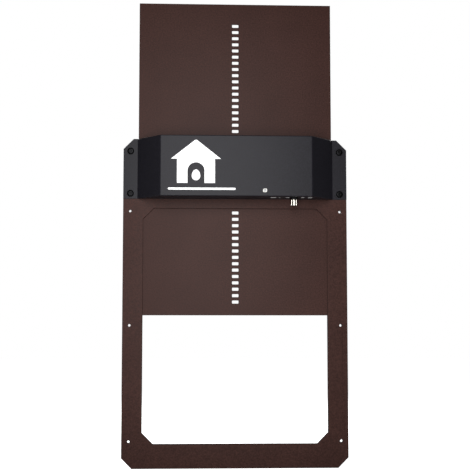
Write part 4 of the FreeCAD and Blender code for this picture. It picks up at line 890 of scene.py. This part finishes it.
class COOPDOOR_OT_print(Operator):
    """Models the plain coop emblem, the rule under it and the dashes by the selector"""

    bl_idname = "coop_door.print"
    bl_label = "Printed Marks"

    # parts of the emblem as shares of its width, and then as shares of its height
    WALLS, RIDGE, DOORWAY, EGG = 0.76, 0.03, 0.34, 0.085
    EAVES, ARCH_FOOT, EGG_MIDDLE = 0.56, 0.3, 0.16
    # where each dash starts and ends, in millimetres to the right of the cover's middle
    DASHES = ((49.0, 56.8), (60.4, 62.6), (70.3, 75.2), (92.3, 96.6), (102.0, 107.7))

    def upright(self, name, width, height, x, z):
        """An upright sheet on the cover's face, in edit mode."""
        return start_piece(
            bpy.ops.mesh.primitive_plane_add, name, size=1.0,
            location=(x, COVER[0].y, z + height / 2), rotation=FACE_ON, scale=(width, height, 1))

    def thicken(self, piece, ink):
        """Gives a flat sheet on the face the ink's height, towards the front."""
        face_outwards()
        extrude(y=-ink)
        face_outwards()

    def execute(self, context):
        sizes = context.scene.coop_door.printing
        x, foot, ink = sizes.emblem_x, sizes.emblem_z, sizes.ink
        width, height = sizes.emblem_width, sizes.emblem_height
        eaves, arch_foot = foot + self.EAVES * height, self.ARCH_FOOT * height
        house = self.upright("emblem_coop", self.WALLS * width, eaves - foot, x, foot)
        choose(house, "edges", lambda a, b: min(a.z, b.z) > eaves - MM)
        extrude()
        bpy.ops.transform.resize(value=(1 / self.WALLS, 1, 1))
        extrude(z=height - (eaves - foot))
        bpy.ops.transform.resize(value=(self.RIDGE, 1, 1))
        self.thicken(house, ink)
        door = self.upright("doorway", self.DOORWAY * width, arch_foot, x, foot - MM)
        self.thicken(door, 4 * ink)
        make_active(door)
        door.location.y += 2 * ink
        bpy.ops.object.transform_apply(location=True, rotation=True, scale=True)
        arch = start_piece(
            bpy.ops.mesh.primitive_cylinder_add, "arch", vertices=64,
            radius=self.DOORWAY / 2 * width, depth=8 * ink,
            location=(x, COVER[0].y, foot - MM + arch_foot), rotation=FACE_ON)
        combine(house, door, "DIFFERENCE")
        combine(house, arch, "DIFFERENCE")
        egg_middle, egg_stretch = Vector((x, COVER[0].y, foot + self.EGG_MIDDLE * height)), 1.55
        egg = start_piece(
            bpy.ops.mesh.primitive_circle_add, "emblem_egg", vertices=64, radius=self.EGG * width,
            fill_type="NGON", location=egg_middle, rotation=FACE_ON)
        choose(egg, "verts", lambda co: co.z > egg_middle.z)
        bpy.ops.transform.resize(value=(1, 1, egg_stretch), center_override=egg_middle)
        self.thicken(egg, ink)
        margin, rule_foot = 4.2 * MM, 188.5 * MM
        rule = self.upright("rule", sizes.rule_length, sizes.rule_height,
                            x - width / 2 - margin + sizes.rule_length / 2, rule_foot)
        choose_corners(rule)
        bpy.ops.mesh.bevel(offset=0.45 * sizes.rule_height, segments=6, affect="VERTICES")
        self.thicken(rule, ink)
        white = plain_finish("ink_screen_printed")
        emblem = join_all((house, egg, rule), "emblem_coop")
        complete(emblem, "frame", "white_plastic", white)
        dashes, dash_middle, dash_depth, dash_corner = [], -29.0 * MM, 5.0 * MM, 0.5 * MM
        for start, end in self.DASHES:
            dash = start_piece(
                bpy.ops.mesh.primitive_plane_add, "dash", size=1.0,
                location=((start + end) / 2 * MM, dash_middle, COVER[0].z),
                scale=((end - start) * MM, dash_depth, 1))
            choose_corners(dash)
            bpy.ops.mesh.bevel(offset=dash_corner, segments=4, affect="VERTICES")
            bpy.ops.mesh.select_all(action="SELECT")
            extrude(z=-ink)
            face_outwards()
            dashes.append(dash)
        complete(join_all(dashes, "selector_dashes"), "frame", "white_plastic", white)
        return {"FINISHED"}


class COOPDOOR_OT_drive(Operator):
    """Finishes the sprocket, shaft, worm gear, motor and their screws"""

    bl_idname = "coop_door.drive"
    bl_label = "Drive"

    def execute(self, context):
        paint(plain_finish("acetal_moulded"), "sprocket", "worm_wheel")
        paint(plain_finish("steel_ground"), "drive_shaft", "motor_shaft", "sprocket_pin")
        paint(plain_finish("steel_zinc_plated"), "shaft_clips", "motor_screws", "housing_screws",
              "bearing_bracket", "bracket_screws")
        paint(plain_finish("brass_turned"), "worm", "shaft_bush_left", "shaft_bush_middle",
              "shaft_bush_right")
        paint(plain_finish("nickel_plated"), "motor")
        paint(plain_finish("abs_grained"), "gear_housing")
        return {"FINISHED"}


class COOPDOOR_OT_electrics(Operator):
    """Finishes the battery holder, the cells and the controller board"""

    bl_idname = "coop_door.electrics"
    bl_label = "Electrics"

    def execute(self, context):
        paint(plain_finish("abs_grained"), "battery_holder")
        paint(plain_finish("steel_zinc_plated"), "battery_screws", "board_screws")
        paint(cell_jacket(), "battery_cells")
        paint(plain_finish("nickel_plated"), "battery_contacts")
        paint(solder_mask(), "controller_board")
        paint(plain_finish("acetal_moulded"), "board_spacers")
        paint(plain_finish("epoxy_moulded"), "controller_chip")
        paint(plain_finish("pvc_sleeve"), "board_capacitors")
        paint(plain_finish("polyamide_moulded"), "board_terminals")
        return {"FINISHED"}


class COOPDOOR_OT_stage(Operator):
    """Adds the pale floor, the softboxes, the room's light and the camera"""

    bl_idname = "coop_door.stage"
    bl_label = "Stage"

    # where the softbox in front and the right one of the two behind stand, and what they face
    FRONT, FRONT_AIM = (-0.04, -0.62, 0.24), (-0.04, 0, 0.2)
    BEHIND, BEHIND_AIM = (0.6, 1.1, 0.7), (0, 0, 0.13)

    def softbox(self, name, place, aim, width, height, power):
        """A rectangular area light that looks at a point and doesn't show itself."""
        bpy.ops.object.select_all(action="DESELECT")
        turn = (Vector(aim) - Vector(place)).to_track_quat("-Z", "Y").to_euler()
        bpy.ops.object.light_add(type="AREA", location=place, rotation=turn)
        light = bpy.context.object
        light.name = name
        light.data.shape, light.data.energy = "RECTANGLE", power
        light.data.size, light.data.size_y = width, height
        light.visible_camera = False

    def execute(self, context):
        scene, studio = context.scene, context.scene.coop_door.studio
        scene.view_settings.view_transform = "Standard"
        floor_size, floor_gap = 12.0, 0.2 * MM
        ground = start_piece(
            bpy.ops.mesh.primitive_plane_add, "floor", size=floor_size,
            location=(0, 0, cad_box[0].z - floor_gap))
        bpy.ops.object.mode_set(mode="OBJECT")
        material = bpy.data.materials.new("paper_sweep_white")
        material.use_nodes = True
        tree = material.node_tree
        # the paper glows a little to the camera, so it stays white where the softbox doesn't reach
        seen = add_node(tree, "ShaderNodeLightPath")
        glow = add_node(tree, "ShaderNodeEmission", {"Strength": 0.95})
        matt = add_node(tree, "ShaderNodeBsdfDiffuse", {"Color": linear("#e9e9e9")})
        together = add_node(tree, "ShaderNodeAddShader", {0: glow.outputs[0], 1: matt.outputs[0]})
        mixed = add_node(tree, "ShaderNodeMixShader", {
            0: seen.outputs["Is Camera Ray"], 1: matt.outputs[0], 2: together.outputs[0]})
        # from below, the paper is clear, so that the underside can be looked at
        side = add_node(tree, "ShaderNodeNewGeometry")
        clear = add_node(tree, "ShaderNodeBsdfTransparent")
        sided = add_node(tree, "ShaderNodeMixShader", {
            0: side.outputs["Backfacing"], 1: mixed.outputs[0], 2: clear.outputs[0]})
        tree.links.new(sided.outputs[0], tree.nodes["Material Output"].inputs["Surface"])
        ground.data.materials.append(material)
        world = bpy.data.worlds.new("pale_room")
        world.use_nodes = True
        scene.world = world
        tree = world.node_tree
        white = linear("#ffffff")
        room = tree.nodes["Background"]
        room.inputs["Strength"].default_value = studio.ambient
        room.inputs["Color"].default_value = white
        backdrop = add_node(tree, "ShaderNodeBackground", {"Color": white})
        seen = add_node(tree, "ShaderNodeLightPath")
        mixed = add_node(tree, "ShaderNodeMixShader", {
            0: seen.outputs["Is Camera Ray"], 1: room.outputs[0], 2: backdrop.outputs[0]})
        tree.links.new(mixed.outputs[0], tree.nodes["World Output"].inputs["Surface"])
        size, power = studio.softbox_size, studio.softbox_power
        self.softbox("softbox_front", self.FRONT, self.FRONT_AIM, size, 2 * size, power)
        across, away, height = self.BEHIND
        for side in (-1, 1):
            self.softbox("softbox_behind", (side * across, away, height), self.BEHIND_AIM,
                         2 * size, 2 * size, 2 * power)
        bpy.ops.object.camera_add(
            location=studio.camera,
            rotation=(studio.camera_tilt, studio.camera_roll, studio.camera_turn))
        camera = bpy.context.object
        camera.name = "camera"
        camera.data.lens = studio.lens
        scene.camera = camera
        return {"FINISHED"}


class COOPDOOR_PT_sidebar(Panel):
    """Lists the pieces of the coop door"""

    bl_label = "Coop Door"
    bl_idname = "COOPDOOR_PT_sidebar"
    bl_space_type = "VIEW_3D"
    bl_region_type = "UI"
    bl_category = "Coop Door"

    def draw(self, context):
        for operator in OPERATORS:
            self.layout.operator(operator.bl_idname)


OPERATORS = (
    COOPDOOR_OT_frame_plates, COOPDOOR_OT_panel, COOPDOOR_OT_cover, COOPDOOR_OT_cover_screws,
    COOPDOOR_OT_light_sensor, COOPDOOR_OT_selector, COOPDOOR_OT_print, COOPDOOR_OT_drive,
    COOPDOOR_OT_electrics, COOPDOOR_OT_stage)
CLASSES = (
    CoopPlateSettings, CoopCoverSettings, CoopScrewSettings, CoopSelectorSettings,
    CoopPrintSettings, CoopFinishSettings, CoopStudioSettings, CoopDoorSettings, *OPERATORS,
    COOPDOOR_PT_sidebar)


def register():
    """Registers the classes and puts the settings on the scene."""
    for made in CLASSES:
        bpy.utils.register_class(made)
    bpy.types.Scene.coop_door = PointerProperty(type=CoopDoorSettings)


def unregister():
    """Takes the settings and the classes away again."""
    del bpy.types.Scene.coop_door
    for made in reversed(CLASSES):
        bpy.utils.unregister_class(made)


def main():
    """Builds every piece and the stage."""
    register()
    steps = bpy.ops.coop_door
    steps.frame_plates()
    steps.panel()
    steps.cover()
    steps.cover_screws()
    steps.light_sensor()
    steps.selector()
    steps.print()
    steps.drive()
    steps.electrics()
    steps.stage()


if __name__ == "__main__":
    main()
